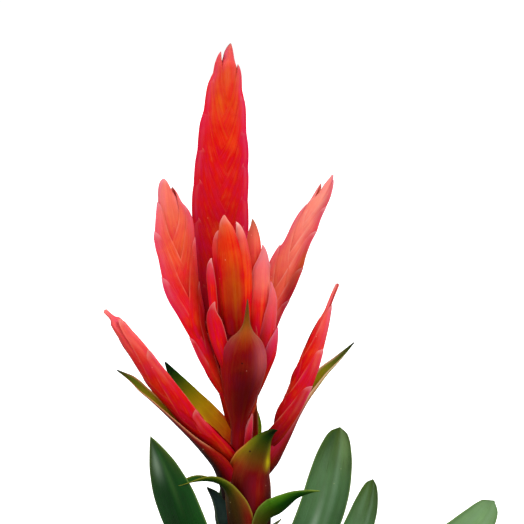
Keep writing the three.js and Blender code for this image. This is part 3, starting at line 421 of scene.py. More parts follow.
def plant_material(name, veins=46, vein_depth=0.5, vein_tone=0.10, blotch=0.10, hue=0.012, specks=0.0,
                   speck_tone="#3a1408", dust=0.0, dust_tone="#ff9a86", rough=(0.34, 0.5), gloss=0.5, sss=0.1,
                   sss_radius=(1.0, 0.3, 0.15), grain=0.35, cells=1500.0):
    """Plant skin: the tone painted along the piece, parallel veins, soft blotches, fine cells and a few specks."""
    n = Net(name)
    tone = n.add("VertexColor", layer_name="Tone").outputs["Color"]
    uv = n.add("UVMap", uv_map="Along").outputs[0]
    obj = n.add("TexCoord").outputs["Object"]
    # parallel veins that run from foot to tip
    vein = n.noise(n.scaled(uv, (1.6, veins, 1)), 1.0, 2.5, 0.55)
    fine = n.noise(n.scaled(uv, (5.0, veins * 3.2, 1)), 1.0, 2.0, 0.6)
    streak = n.noise(n.scaled(uv, (0.9, veins * 0.22, 1), (3.1, 7.7, 0)), 1.0, 2.0, 0.5)
    patch = n.noise(obj, 75.0, 3.0, 0.55, 0.3)
    mottle = n.noise(obj, 420.0, 3.0, 0.6)
    value = n.math("MULTIPLY_ADD", vein, 2 * vein_tone, 1 - vein_tone)
    value = n.math("MULTIPLY_ADD", n.math("SUBTRACT", fine, 0.5), vein_tone, value)
    value = n.math("MULTIPLY_ADD", n.math("SUBTRACT", streak, 0.5), 1.6 * vein_tone, value)
    value = n.math("MULTIPLY_ADD", n.math("SUBTRACT", patch, 0.5), 2 * blotch, value)
    value = n.math("MULTIPLY_ADD", n.math("SUBTRACT", mottle, 0.5), 0.8 * blotch, value)
    hues = n.math("MULTIPLY_ADD", n.math("SUBTRACT", streak, 0.5), 2 * hue, 0.5)
    hues = n.math("MULTIPLY_ADD", n.math("SUBTRACT", patch, 0.5), 2 * hue, hues)
    sats = n.math("MULTIPLY_ADD", n.math("SUBTRACT", fine, 0.5), -0.16, 1.0)
    colour = n.tint(tone, value=value, hue=hues, sat=sats)
    if specks:
        d, c = n.spots(obj, 210.0)
        sep = n.add("SeparateColor")
        n.link(c, sep.inputs[0])
        few = n.math("GREATER_THAN", sep.outputs[0], 1 - specks)
        dot = n.math("MULTIPLY", n.range(d, 0.10, 0.17, 1.0, 0.0), few)
        colour = n.mix(n.math("MULTIPLY", dot, 0.8), colour, rgb(speck_tone))
    if dust:
        d2, c2 = n.spots(n.scaled(obj, (1, 1, 1), (0.37, 0.11, 0.53)), 330.0)
        sep2 = n.add("SeparateColor")
        n.link(c2, sep2.inputs[0])
        few2 = n.math("GREATER_THAN", sep2.outputs[1], 1 - dust)
        dot2 = n.math("MULTIPLY", n.range(d2, 0.09, 0.15, 1.0, 0.0), few2)
        colour = n.mix(n.math("MULTIPLY", dot2, 0.65), colour, rgb(dust_tone))
    r = n.range(n.math("ADD", n.math("MULTIPLY", mottle, 0.6), n.math("MULTIPLY", vein, 0.4)), 0.3, 0.7, *rough, kind="LINEAR")
    cell, _ = n.spots(obj, cells)
    normal = n.bump(cell, grain * 0.35, 0.00006)
    normal = n.bump(fine, 0.35 * vein_depth, 0.0002, normal)
    normal = n.bump(vein, vein_depth, 0.0005, normal)
    consts = dict(IOR=1.45, Specular_IOR_Level=gloss, Subsurface_Weight=sss, Subsurface_Scale=0.003)
    mat = n.finish(colour, r, normal, **consts)
    p = next(x for x in n.nt.nodes if x.type == "BSDF_PRINCIPLED")
    p.inputs["Subsurface Radius"].default_value = sss_radius
    return mat


BRACT = plant_material("bract_skin", veins=52, vein_depth=0.4, vein_tone=0.055, blotch=0.085, hue=0.012, specks=0.012,
                       dust=0.02, rough=(0.42, 0.56), gloss=0.06, sss=0.12, sss_radius=(1.0, 0.28, 0.14))
MAROON = plant_material("maroon_bract_skin", veins=64, vein_depth=0.6, vein_tone=0.16, blotch=0.13, hue=0.012,
                        specks=0.02, dust=0.05, dust_tone="#c08070", rough=(0.38, 0.52), gloss=0.09, sss=0.04,
                        sss_radius=(1.0, 0.3, 0.2))
GREEN = plant_material("green_bract_skin", veins=58, vein_depth=0.7, vein_tone=0.14, blotch=0.12, hue=0.014,
                       specks=0.008, dust=0.03, dust_tone="#d8c890", rough=(0.36, 0.5), gloss=0.12, sss=0.04,
                       sss_radius=(0.6, 0.8, 0.2))
LEAF = plant_material("leaf_skin", veins=70, vein_depth=0.75, vein_tone=0.12, blotch=0.10, hue=0.010, specks=0.012,
                      speck_tone="#4a4a18", dust=0.012, dust_tone="#b8c890", rough=(0.25, 0.38), gloss=0.25, sss=0.03,
                      sss_radius=(0.5, 0.8, 0.2), grain=0.5)
STEM_SKIN = plant_material("stem_skin", veins=40, vein_depth=0.9, vein_tone=0.2, blotch=0.22, hue=0.012, specks=0.05,
                           rough=(0.55, 0.75), sss=0.0, grain=1.0)

# ------------------------------------------------------------------ keeled bracts of the flat spikes
MARGIN = profile([[0, -0.75], [0.34, -0.02], [0.52, 0.24], [0.7, 0.44], [0.84, 0.58], [0.93, 0.71], [0.975, 0.84], [1, 1]])


def lens(b, F):
    return np.maximum(1 - np.abs(b / F) ** 2.2, 0) ** 0.8


def outline(s, side, *more):
    if s["name"] in OUTLINES:
        return profile(OUTLINES[s["name"]][side])
    rows = sorted([[b[2], b[3]] for b in s["bracts"] if b[0] == side] + list(more))
    return profile([r for i, r in enumerate(rows) if i == 0 or r[0] - rows[i - 1][0] > 1])


# outlines of the spikes: [distance along the axis, half width], on the left (-1) and the right (1)
OUTLINES = {
    "top_spike": {
        -1: [[40, 15], [60, 18.4], [81.5, 19.0], [106.1, 19.0], [129.5, 18.6], [147.4, 18.2], [156.4, 17.9], [173.2, 16.9], [190.2, 15.8], [203.6, 14.9],
             [210.3, 13.8], [213.4, 13.1], [220.1, 12.5], [229.4, 11.6], [234.2, 9.8], [235.8, 9.0], [241.2, 8.4], [247.6, 6.9], [250.3, 5.1],
             [251.2, 3.5], [255.7, 0.3]],
        1: [[96.7, 10.9], [119.1, 14.6], [140.8, 16.4], [161.1, 16.4], [182.0, 16.0], [205.1, 13.4], [218.2, 12.0], [224.4, 10.3],
            [226.4, 9.6], [235.0, 8.5], [240.3, 7.3], [243.4, 5.4], [244.6, 4.2], [249.3, 2.8], [254.0, 1.3], [255.7, 0.3]]},
    "left_spike": {
        -1: [[20, 0.8], [33, 3.2], [43.5, 4.4], [57, 5.6], [69, 6.0], [84, 8.2], [97, 11.6], [104, 12.5], [110, 12.4], [121.6, 12.8],
             [129, 13.7], [135.2, 13.6], [140, 11.9], [148.3, 9.3], [157, 6.7], [163.9, 5.4], [169.1, 3.4], [171, 1.0]],
        1: [[30, 5.4], [50, 6.4], [68, 7.6], [81.5, 11.8], [94.5, 13.2], [107.6, 14.6], [120, 15.3], [134.8, 16.6], [140.9, 16.9],
            [145.4, 16.2], [151.8, 13.0], [154, 11.3], [161.2, 8.2], [165, 5.3], [168, 3.0], [171, 1.0]]},
    "right_spike": {
        -1: [[20, 2.4], [60, 9], [90, 12], [109.3, 12.4], [117.2, 11.2], [121.1, 10.1], [123.6, 9.1], [130, 8.4], [137, 8.2], [143.4, 7.7],
             [150.5, 6.2], [153.1, 5.7], [161, 5.6], [168, 4.6], [176, 0.6]],
        1: [[20, 3], [50, 5.5], [74.7, 6.7], [81.7, 7.4], [91.4, 9.0], [102.9, 9.9], [113.4, 10.0], [122.1, 8.8], [131.3, 8.3], [139.4, 8.6],
            [143.8, 7.9], [155.1, 6.0], [164.2, 4.7], [171, 2.9], [176, 0.6]]},
    "low_left_spike": {
        -1: [[12, 8], [30, 11.5], [45, 13.6], [58.9, 14.0], [67.7, 14.0], [77.7, 12.9], [88.3, 10.8], [97.9, 9.0], [107.8, 7.8], [118, 5.3],
             [126.1, 1.4], [131, 1.1], [134, 0.5]],
        1: [[10, 5], [35.7, 8.4], [47, 10.8], [59.2, 12.5], [75.1, 13.1], [90.6, 11.7], [99.3, 10.5], [110.2, 7.5], [113.8, 6.4], [120.5, 5.9],
            [124.8, 4.4], [127.9, 1.1], [131.3, 0.6], [134, 0.4]]},
    "low_right_spike": {
        -1: [[10, 3.4], [23.5, 4.2], [31.9, 5.2], [50.1, 8.3], [60, 8.6], [71, 8.2], [88.3, 6.0], [103.3, 2.7], [110.8, 1.3], [122.2, 1.4], [127, 0.4]],
        1: [[10, 6], [30, 9.6], [50, 11.2], [60, 11.6], [73.7, 11.3], [85, 9.0], [96.3, 6.0], [113.6, 2.2], [124.9, 0.6], [127.5, 0.4]]},
}
# the closed bud at a spike's end: [distance, half width on its keel's side, half width on the other side]
SLIM = {
    "top_spike": [[213, 8.5, 9.5], [235, 7.0, 8.0], [241, 5.4, 6.4], [245, 3.8, 4.6], [249.3, 2.6, 3.8], [253, 1.5, 2.3], [255.7, 0.3, 0.3]],
    "left_spike": [[124, 7.5, 9], [148, 7.0, 10.4], [157, 6.0, 8.2], [161, 5.4, 5.6], [163.6, 4.9, 4.0], [166.5, 3.8, 2.4], [169.1, 2.2, 0.9], [171, 0.2, 0.1]],
    "right_spike": [[135, 6.5, 7.5], [155, 4.9, 6.0], [159, 4.2, 4.2], [162, 3.8, 2.8], [167.9, 3.2, 2.3], [171, 2.6, 1.6], [174.5, 1.2, 0.7], [176.4, 0.3, 0.3]],
    "low_left_spike": [[52, 8, 8], [100, 5, 5.5], [112, 3.2, 4.4], [118, 2.2, 3.4], [122, 1.6, 2.2], [126, 0.9, 1.3], [131, 0.6, 1.0], [134.3, 0.3, 0.3]],
    "low_right_spike": [[57, 7, 7], [88, 3.8, 4.5], [103, 1.9, 2.8], [111, 1.1, 1.6], [120, 1.2, 0.8], [127, 0.3, 0.3]],
}


def keeled(s, k, name, nodes, look, nu=38, half=13):
    side, foot, top, out = s["bracts"][k]
    tweak = {**look.get("all", {}), **look.get(k, {})}
    foot = tweak.get("foot", foot)
    base = max(foot - 0.22 * (top - foot), min(foot, 0.5))
    L = top - foot
    c = s.setdefault("curve", Curve(s["axis"]))
    E = outline(s, side)
    B0 = np.array([math.cos(math.radians(s["yaw"])), math.sin(math.radians(s["yaw"])), 0.0])

    def place(x, b, h):
        C, T = c.at(x), c.tangent(np.clip(x, 0, c.length))
        B = across(np.broadcast_to(B0, T.shape), T)
        N = np.cross(T, B)
        return C[:, None] + B[:, None] * b[..., None] + N[:, None] * h[..., None]

    ue = 0.992 * np.linspace(0, 1, nu) ** 0.86
    x = base + ue * (top - base)
    u = (x - foot) / L
    fat = look.get("fat", 1.0) + (1 - look.get("fat", 1.0)) * smooth(0.8, 1, u)
    Ex = np.maximum(E(x) * fat, s["r0"])
    # the keel line bulges below each tip
    belly = tweak.get("belly", look.get("belly", 0.3)) * np.sin(np.pi * np.clip((ue - 0.5) / 0.5, 0, 1) ** 1.5)
    F = s["r0"] + (Ex - s["r0"]) * (1 - (1 - ue) ** look.get("rise", 4.0)) + belly
    bud = tweak.get("margin", 0) < -0.9
    if bud and s["name"] in SLIM:
        F = s["r0"] * 0.6 + np.maximum(profile(SLIM[s["name"]], 1)(x) - s["r0"] * 0.6, -0.5 * s["r0"]) * (1 - (1 - ue) ** 4)
    # neighbours share one smooth surface and lie on it in order, the older ones outside
    G = s["open0"] + (look["thick"] - s["open0"]) * smooth(-0.1, 0.16, ue) + look.get("step", 0.55) * ue + tweak.get("proud", 0.0)
    G = G * Ex / (Ex ** 4 + G ** 4) ** 0.25
    m = np.clip(MARGIN(u) + tweak.get("margin", 0) * np.sin(np.pi * np.clip(u, 0, 0.97) ** 0.8), -0.94, 0.965)
    j = np.linspace(-1, 1, 2 * half + 1)
    f = np.abs(j) ** 1.45
    sgn = np.sign(j)
    b = F[:, None] * (1 + (m[:, None] - 1) * f)
    h = G[:, None] * lens(b, np.maximum(Ex, F)[:, None] * 1.04) * np.maximum(1 - np.abs(b / F[:, None]) ** 5, 0) ** 0.5
    if tweak.get("margin", 0) < -0.9:
        m = np.full(nu, -0.94)
        b = F[:, None] * (1 + (m[:, None] - 1) * f)
        h = G[:, None] * lens(b, np.maximum(Ex, F)[:, None] * 1.04) * np.maximum(1 - np.abs(b / F[:, None]) ** 5, 0) ** 0.5
        if s["name"] in SLIM:
            other = s["r0"] * 0.6 + np.maximum(profile(SLIM[s["name"]], 2)(x) - s["r0"] * 0.6, -0.5 * s["r0"]) * (1 - (1 - ue) ** 4)
        else:
            other = np.maximum(outline(s, -side, [top, out])(x), 0.2)
            other = s["r0"] * 0.5 + np.maximum(other * fat - s["r0"] * 0.5, 0.1) * (1 - (1 - ue) ** 5) + 0.6 * belly
        b = np.where(b < 0, b * np.clip(other / F, 0.3, 6)[:, None], b)
    # the free margin stands a little off what it covers, and is not quite straight
    seed = 7.3 * k + 31.0 * s["seed"]
    wave = wobble(np.stack([np.broadcast_to(x[:, None], b.shape), sgn * 40 + 0 * b, 0 * b], -1), 0.09, seed)
    rise = tweak.get("rim", 0.06) * smooth(0.7, 1, f)[None] * smooth(0.12, 0.4, u)[:, None]
    h0 = h + rise * (1 + 0.5 * wave) + 0.05 * wave * smooth(0.1, 0.5, f)
    # the keel tip turns outwards
    curl = tweak.get("curl", 0.35) * smooth(0.8, 1, u) ** 1.5
    b0 = b + curl[:, None] + 0.3 * wave * smooth(0.3, 1, f) * smooth(0.1, 0.4, u)[:, None]
    wall = 0.14 * (1 - 0.6 * f ** 3) * (1 - 0.5 * smooth(0.86, 1, u))[:, None]
    w = np.minimum(wall, 0.42 * h0 + 0.01)
    kk = np.minimum(2 * wall, 0.4 * (F * (1 - m))[:, None]) * (1 - f)
    lean = tweak.get("lean", 0.0) * smooth(0.7, 1, u)[:, None]
    outer = place(x, side * b0, sgn * h0 + lean)
    inner = place(x, side * (b0 - kk), sgn * np.maximum(h0 - w, 0.015) + lean)
    tip = place(np.array([float(top)]), np.array([[side * (0.0 if bud else F[-1] + tweak.get("curl", 0.35))]]),
                np.array([[tweak.get("lean", 0.0)]]))[0, 0]

    # tone
    q = x / c.length
    centre = ramp(look["centre"], q)[:, None]
    edge = ramp(look["left" if side < 0 else "right"], q)[:, None]
    d = np.abs(b) / Ex[:, None]
    lo, hi = look.get("split", (0.35, 0.95))
    tone = blend(np.broadcast_to(centre, b.shape + (3,)), edge, smooth(lo, hi, d) * look.get("edge_mix", 0.9))
    tone = blend(tone, rgb(look["base"]), look.get("base_mix", 0.3) * (1 - smooth(-0.1, 0.25, u))[:, None] + 0 * b)
    # painted highlight: a pale stripe a little inside the keel edge and a pale line on the keel itself stand in for
    # light caught on the rounded keel
    dist = F[:, None] - np.abs(b)
    streak = np.exp(-((dist - 2.4) / 1.1) ** 2) * smooth(0.4, 0.8, u)[:, None]
    tone = blend(tone, rgb(look["streak"]), streak * look.get("keel_stripe_highlight_mix", 0.25) * 0.5 * (1 + 0.8 * wave))
    line = np.exp(-(dist / 0.7) ** 2) * smooth(0.5, 0.9, u)[:, None]
    tone = blend(tone, rgb(look["keel"]), line * look.get("keel_line_highlight_mix", 0.3))
    rim = np.exp(-((b - (F * m)[:, None]) / look.get("rim_width", 0.75)) ** 2) * (smooth(0.22, 0.42, u) * (1 - 0.85 * smooth(0.6, 0.85, u)))[:, None]
    fade = 0.55 + 0.45 * wobble(np.stack([np.broadcast_to(x[:, None], b.shape), sgn * 9 + 0 * b, 0 * b], -1), 0.16, seed + 5)
    tone = blend(tone, rgb(look["margin"]), rim * np.clip(fade, 0, 1) * tweak.get("rim_mix", look.get("rim_mix", 0.5)))
    tone = blend(tone, rgb(tweak.get("tip", look["tip"])), smooth(tweak.get("tip_from", 0.9), 1, u)[:, None]
                 * tweak.get("tip_mix", look.get("tip_mix", 0.6)) * (0.6 + 0.4 * f) + 0 * b)
    for px, pb, rx, rb, colour, mixed in look.get("patches", []):
        g = np.exp(-((x[:, None] - px) / rx) ** 2 - ((side * b - pb) / rb) ** 2)
        tone = blend(tone, rgb(colour), g * mixed)
    tone = tone * (1 + 0.07 * wobble(outer, 0.11, seed))[..., None]
    tone_in = blend(tone, rgb(look.get("inner", "#e8604a")), 0.35 + 0 * b)
    uv = np.stack([np.broadcast_to((x / 60.0)[:, None], b.shape),
                   np.broadcast_to((j * 0.5 + 0.5)[None], b.shape)], -1)
    return shell(name, outer, inner, tip, uv, tone, tone_in, rgb(tweak.get("tip", look["tip"])) * 0.9,
                 BRACT, nodes)


# ------------------------------------------------------------------ thin curved sheets: leaves and clasping bracts
def sheet(s, name, nodes, material, paint, nu=52, nv=22, mid=0.25, flip=False, edge_roll=0.25, tip_round=False):
    c = Curve(s["spine"])
    chord, angle = profile(s["rows"], 1), profile(s["rows"], 2)
    tau = np.linspace(0, 1, nu)
    t = 0.994 * (1 - (1 - tau) ** 1.35) if tip_round else 0.99 * tau
    x = t * c.length
    C, T = c.at(x), c.tangent(x)
    tw = np.radians(s.get("twist", 0)) * t * t * (3 - 2 * t)

    def mixed(a, b):
        return across(np.array(a, float)[None] * (1 - t)[:, None] + np.array(b, float)[None] * t[:, None], T)
    if "side0" in s:
        N0 = np.cross(mixed(s["side0"], s["side1"]), T)
    else:
        N0 = mixed(s["inner0"], s["inner1"])
    W0 = np.cross(T, N0)
    N = N0 * np.cos(tw)[:, None] + W0 * np.sin(tw)[:, None]
    W = np.cross(T, N)
    v, a = chord(t), np.radians(angle(t))
    R = v / np.sin(np.minimum(a, math.pi / 2))
    q = np.linspace(-1, 1, nv + 1)
    beta = a[:, None] * q[None]
    seed = s.get("seed", 3.0)
    wave = wobble(np.stack([np.broadcast_to(x[:, None], beta.shape), np.sign(q)[None] * 50 + 0 * beta, 0 * beta], -1), 0.045, seed)
    ruffle = s.get("ruffle", 0.35) * wave * (np.abs(q) ** 2)[None] * smooth(0.15, 0.4, t)[:, None] * (1 - 0.6 * smooth(0.9, 1, t))[:, None]
    thick = s["thickness"] * (1 - 0.62 * np.abs(q) ** 3)[None] * (1 - 0.55 * smooth(0.8, 1, t))[:, None]
    # the midrib: a groove inside and a ridge outside; the margin rolls a little inwards
    rib = mid * np.exp(-(q[None] * v[:, None] / 1.1) ** 2) * smooth(0.08, 0.3, t)[:, None] * (1 - smooth(0.9, 1, t))[:, None]
    roll = edge_roll * smooth(0.86, 1, np.abs(q))[None] * smooth(0.1, 0.3, t)[:, None]
    p = (C[:, None] + W[:, None] * (R[:, None] * np.sin(beta))[..., None]
         + N[:, None] * (R[:, None] * (1 - np.cos(beta)) + s["keel"] * v[:, None] * np.abs(q)[None] + ruffle + roll)[..., None])
    n = -W[:, None] * np.sin(beta)[..., None] + N[:, None] * np.cos(beta)[..., None]
    outer = p - n * rib[..., None]
    inner = p + n * (thick - np.minimum(rib * 0.8, thick * 0.5))[..., None]
    tip = c.at(np.array([c.length]))[0] + n[-1, nv // 2] * 0.2
    tone_out, tone_in, tip_tone = paint(t, q, x, v, p)
    uv = np.stack([np.broadcast_to((x / 60.0)[:, None], beta.shape),
                   np.broadcast_to((q * 0.5 + 0.5)[None], beta.shape)], -1)
    return shell(name, outer, inner, tip, uv, tone_out, tone_in, tip_tone, material, nodes, 60)


def painter(look, seed):
    """Tone of a clasping bract: along its length, towards its margins, its rim and its patches."""
    def paint(t, q, x, v, p):
        shape = (len(t), len(q))
        tone = np.broadcast_to(ramp(look["mid"], t)[:, None], shape + (3,))
        if "edge" in look:
            tone = blend(tone, ramp(look["edge"], t)[:, None], smooth(0.25, 0.95, np.abs(q))[None] + np.zeros(shape))
        for pt, pq, rt, rq, colour, k in look.get("patches", []):
            g = np.exp(-((t[:, None] - pt) / rt) ** 2 - ((q[None] - pq) / rq) ** 2)
            tone = blend(tone, rgb(colour), g * k)
        dist = (1 - np.abs(q))[None] * v[:, None]
        if "rim" in look:
            colour, width, k = look["rim"][:3]
            only = look["rim"][3] if len(look["rim"]) > 3 else 0
            sel = 1.0 if only == 0 else (np.sign(q) == only)[None]
            lo, hi = look["rim"][4] if len(look["rim"]) > 4 else (0.1, 1.2)
            fade = smooth(lo, lo + 0.12, t) * (1 - smooth(hi - 0.12, hi, t))
            tone = blend(tone, rgb(colour), np.exp(-(dist / width) ** 2) * k * sel * fade[:, None])
        tone = tone * (1 + look.get("noise", 0.1) * wobble(p, 0.10, seed))[..., None]
        if "inside" in look:
            inside = np.broadcast_to(ramp(look["inside"], t)[:, None], shape + (3,))
            for pt, pq, rt, rq, colour, k in look.get("inside_patches", []):
                inside = blend(inside, rgb(colour), np.exp(-((t[:, None] - pt) / rt) ** 2 - ((q[None] - pq) / rq) ** 2) * k)
            inside = inside * (1 + 0.1 * wobble(p, 0.12, seed + 9))[..., None]
            if "rim" in look:
                inside = blend(inside, rgb(look["rim"][0]), np.exp(-(dist / look["rim"][1]) ** 2) * look["rim"][2] * fade[:, None])
        else:
            inside = tone
        return tone, inside, tone[-1].mean(0)
    return paint


# ------------------------------------------------------------------ looks of the spikes
# in each look, the streak and keel colours are painted highlights along the keel
LOOKS = {
    "top_spike": dict(
        thick=5.0, fat=1.05,
        centre=[(0, "#780008"), (0.25, "#b00016"), (0.45, "#c00014"), (0.56, "#c40410"), (0.66, "#d41814"), (0.76, "#e23224"),
                (0.86, "#e2442c"), (0.94, "#e44a3c"), (1, "#ea6a5c")],
        # left edge: the darker crimson low down is partly painted shade, where the side spikes shade this side
        left=[(0, "#70000e"), (0.3, "#a00018"), (0.5, "#c0003c"), (0.62, "#cc0040"), (0.72, "#d60c44"), (0.85, "#e22a42"), (1, "#ea5c60")],
        right=[(0, "#8a0008"), (0.3, "#ac0410"), (0.5, "#c40042"), (0.62, "#ce0046"), (0.75, "#d8104c"), (0.88, "#e43650"), (1, "#ea646c")],
        base="#a00010", streak="#f08088", keel="#e0506a", margin="#f07060", tip="#f4a090", inner="#e8503c", split=(0.42, 0.92),
        keel_stripe_highlight_mix=0.22, rim_mix=0.05, keel_line_highlight_mix=0.25, tip_mix=0.3, step=0.4, belly=0.25, base_mix=0.15),
    "left_spike": dict(
        thick=4.6,
        centre=[(0, "#70000a"), (0.12, "#a2041c"), (0.25, "#d80014"), (0.4, "#ec181c"), (0.6, "#ee4236"), (0.8, "#ee5c46"), (1, "#f07a68")],
        left=[(0, "#900c28"), (0.25, "#d00c2c"), (0.45, "#ea1828"), (0.6, "#ec3444"), (0.78, "#ec4c5c"), (1, "#ee807c")],
        right=[(0, "#700410"), (0.25, "#c40824"), (0.5, "#e63230"), (0.68, "#ec4a44"), (0.84, "#de5668"), (1, "#ee7c7c")],
        base="#90041c", streak="#f88c98", keel="#f070a0", margin="#f89c88", tip="#f6a0a8", inner="#dc3428", rim_mix=0.55, keel_stripe_highlight_mix=0.3),
    "right_spike": dict(
        thick=4.3,
        centre=[(0, "#900010"), (0.25, "#d41c20"), (0.42, "#ff5848"), (0.6, "#ff725c"), (0.8, "#fc8674"), (1, "#f68c84")],
        left=[(0, "#a80814"), (0.3, "#f85048"), (0.5, "#fc5e5c"), (0.75, "#ec5866"), (1, "#ee7c80")],
        right=[(0, "#7a0014"), (0.25, "#940c1c"), (0.45, "#b81828"), (0.6, "#d42e38"), (0.8, "#e24854"), (1, "#e6686e")], split=(0.3, 0.9),
        patches=[(118, 8.6, 9, 1.5, "#b87014", 0.55), (98, 8.0, 16, 3.2, "#8c0418", 0.7)],
        base="#c02028", streak="#ffa49c", keel="#f07aa0", margin="#ffb8a8", tip="#f8b0b0", inner="#f87860", rim_mix=0.6, keel_stripe_highlight_mix=0.32),
    "low_left_spike": dict(
        thick=4.6, rise=6.0,
        centre=[(0, "#900008"), (0.25, "#d80010"), (0.4, "#ee0614"), (0.55, "#f01c22"), (0.75, "#f43a3a"), (0.9, "#f05850"), (1, "#d84438")],
        # left: the spike's lower side, painted darker as shade from the light above
        left=[(0, "#700010"), (0.4, "#9a0818"), (0.65, "#c01c28"), (0.85, "#d83c40"), (1, "#d84c40")],
        right=[(0, "#a80010"), (0.3, "#e00c1c"), (0.5, "#ee2c30"), (0.65, "#f04644"), (0.85, "#f05c54"), (1, "#e8584c")],
        base="#b00414", streak="#f88c84", keel="#f4788c", margin="#f49a84", tip="#f0a090", inner="#e8402c", rim_mix=0.4, keel_stripe_highlight_mix=0.28),
    "low_right_spike": dict(
        thick=4.6, rise=8.0,
        centre=[(0, "#500004"), (0.14, "#680006"), (0.3, "#c8040e"), (0.5, "#e21414"), (0.7, "#e62c20"), (0.9, "#ec5448"), (1, "#e46a60")],
        left=[(0, "#70000a"), (0.3, "#e0141c"), (0.55, "#e83028"), (0.8, "#f2564e"), (1, "#ea706c")],
        right=[(0, "#500008"), (0.3, "#a80818"), (0.5, "#d02430"), (0.8, "#ea504c"), (1, "#e87470")],
        base="#60000a", streak="#fa908c", keel="#f07aa0", margin="#fca08c", tip="#f6a8a4", inner="#f04a34", rim_mix=0.45, keel_stripe_highlight_mix=0.26),
    "inner_right_spike": dict(
        thick=4.2,
        centre=[(0, "#b80810"), (0.3, "#e02c20"), (0.5, "#f2563e"), (0.75, "#f8786a"), (1, "#ec7466")],
        left=[(0, "#b80c14"), (0.35, "#ea4434"), (0.6, "#f6665a"), (1, "#e87468")],
        right=[(0, "#b01020"), (0.35, "#cc3440"), (0.6, "#ea5c60"), (0.8, "#f0746c"), (1, "#f08478")],
        base="#c81c20", streak="#fa9c90", keel="#f07a90", margin="#f8a08c", tip="#f4988c", inner="#f06a4c", rim_mix=0.45, keel_stripe_highlight_mix=0.3),
    "front_spike": dict(
        thick=4.4,
        centre=[(0, "#a00810"), (0.25, "#c81410"), (0.45, "#dc3010"), (0.65, "#e83c14"), (0.85, "#ee4c2c"), (1, "#f07058")],
        left=[(0, "#b00414"), (0.3, "#d81420"), (0.55, "#e82a30"), (0.8, "#f0504a"), (1, "#f2847a")],
        right=[(0, "#b80c14"), (0.3, "#dc2820"), (0.55, "#ec4a34"), (0.8, "#f05c4c"), (1, "#f2887c")],
        base="#c40814", streak="#fa9c94", keel="#f28090", margin="#f8a094", tip="#f8b8b0", inner="#f05a34", rim_mix=0.45, keel_stripe_highlight_mix=0.26),
    "back_spike": dict(
        thick=4.6,
        centre=[(0, "#900010"), (0.3, "#c40c14"), (0.55, "#e02c20"), (0.8, "#ec4a34"), (1, "#f07460")],
        left=[(0, "#a00414"), (0.4, "#d01c30"), (0.7, "#ea4050"), (1, "#f08480")],
        right=[(0, "#a00414"), (0.4, "#cc1c2c"), (0.7, "#e83e4c"), (1, "#f08480")],
        base="#a80412", streak="#f68c90", keel="#f07890", margin="#f49484", tip="#f6a8a0", inner="#ec5038", rim_mix=0.5, keel_stripe_highlight_mix=0.28),
}
SLOTS = {"top_spike": "top_spike"}

# the last bract of each spike closes round its tip as a bud
for spike, last in (("top_spike", 17), ("left_spike", 9), ("right_spike", 10), ("low_left_spike", 5), ("low_right_spike", 5),
                    ("inner_right_spike", 7), ("back_spike", 7)):
    LOOKS[spike].setdefault(last, {}).update(margin=-1.1, curl=0.0)
LOOKS["front_spike"][0] = dict(foot=30.0)
LEFT_OUT = {("front_spike", k) for k in (1, 2, 3, 4, 5, 6)} | {("inner_right_spike", k) for k in (2, 3, 5, 6, 7)}
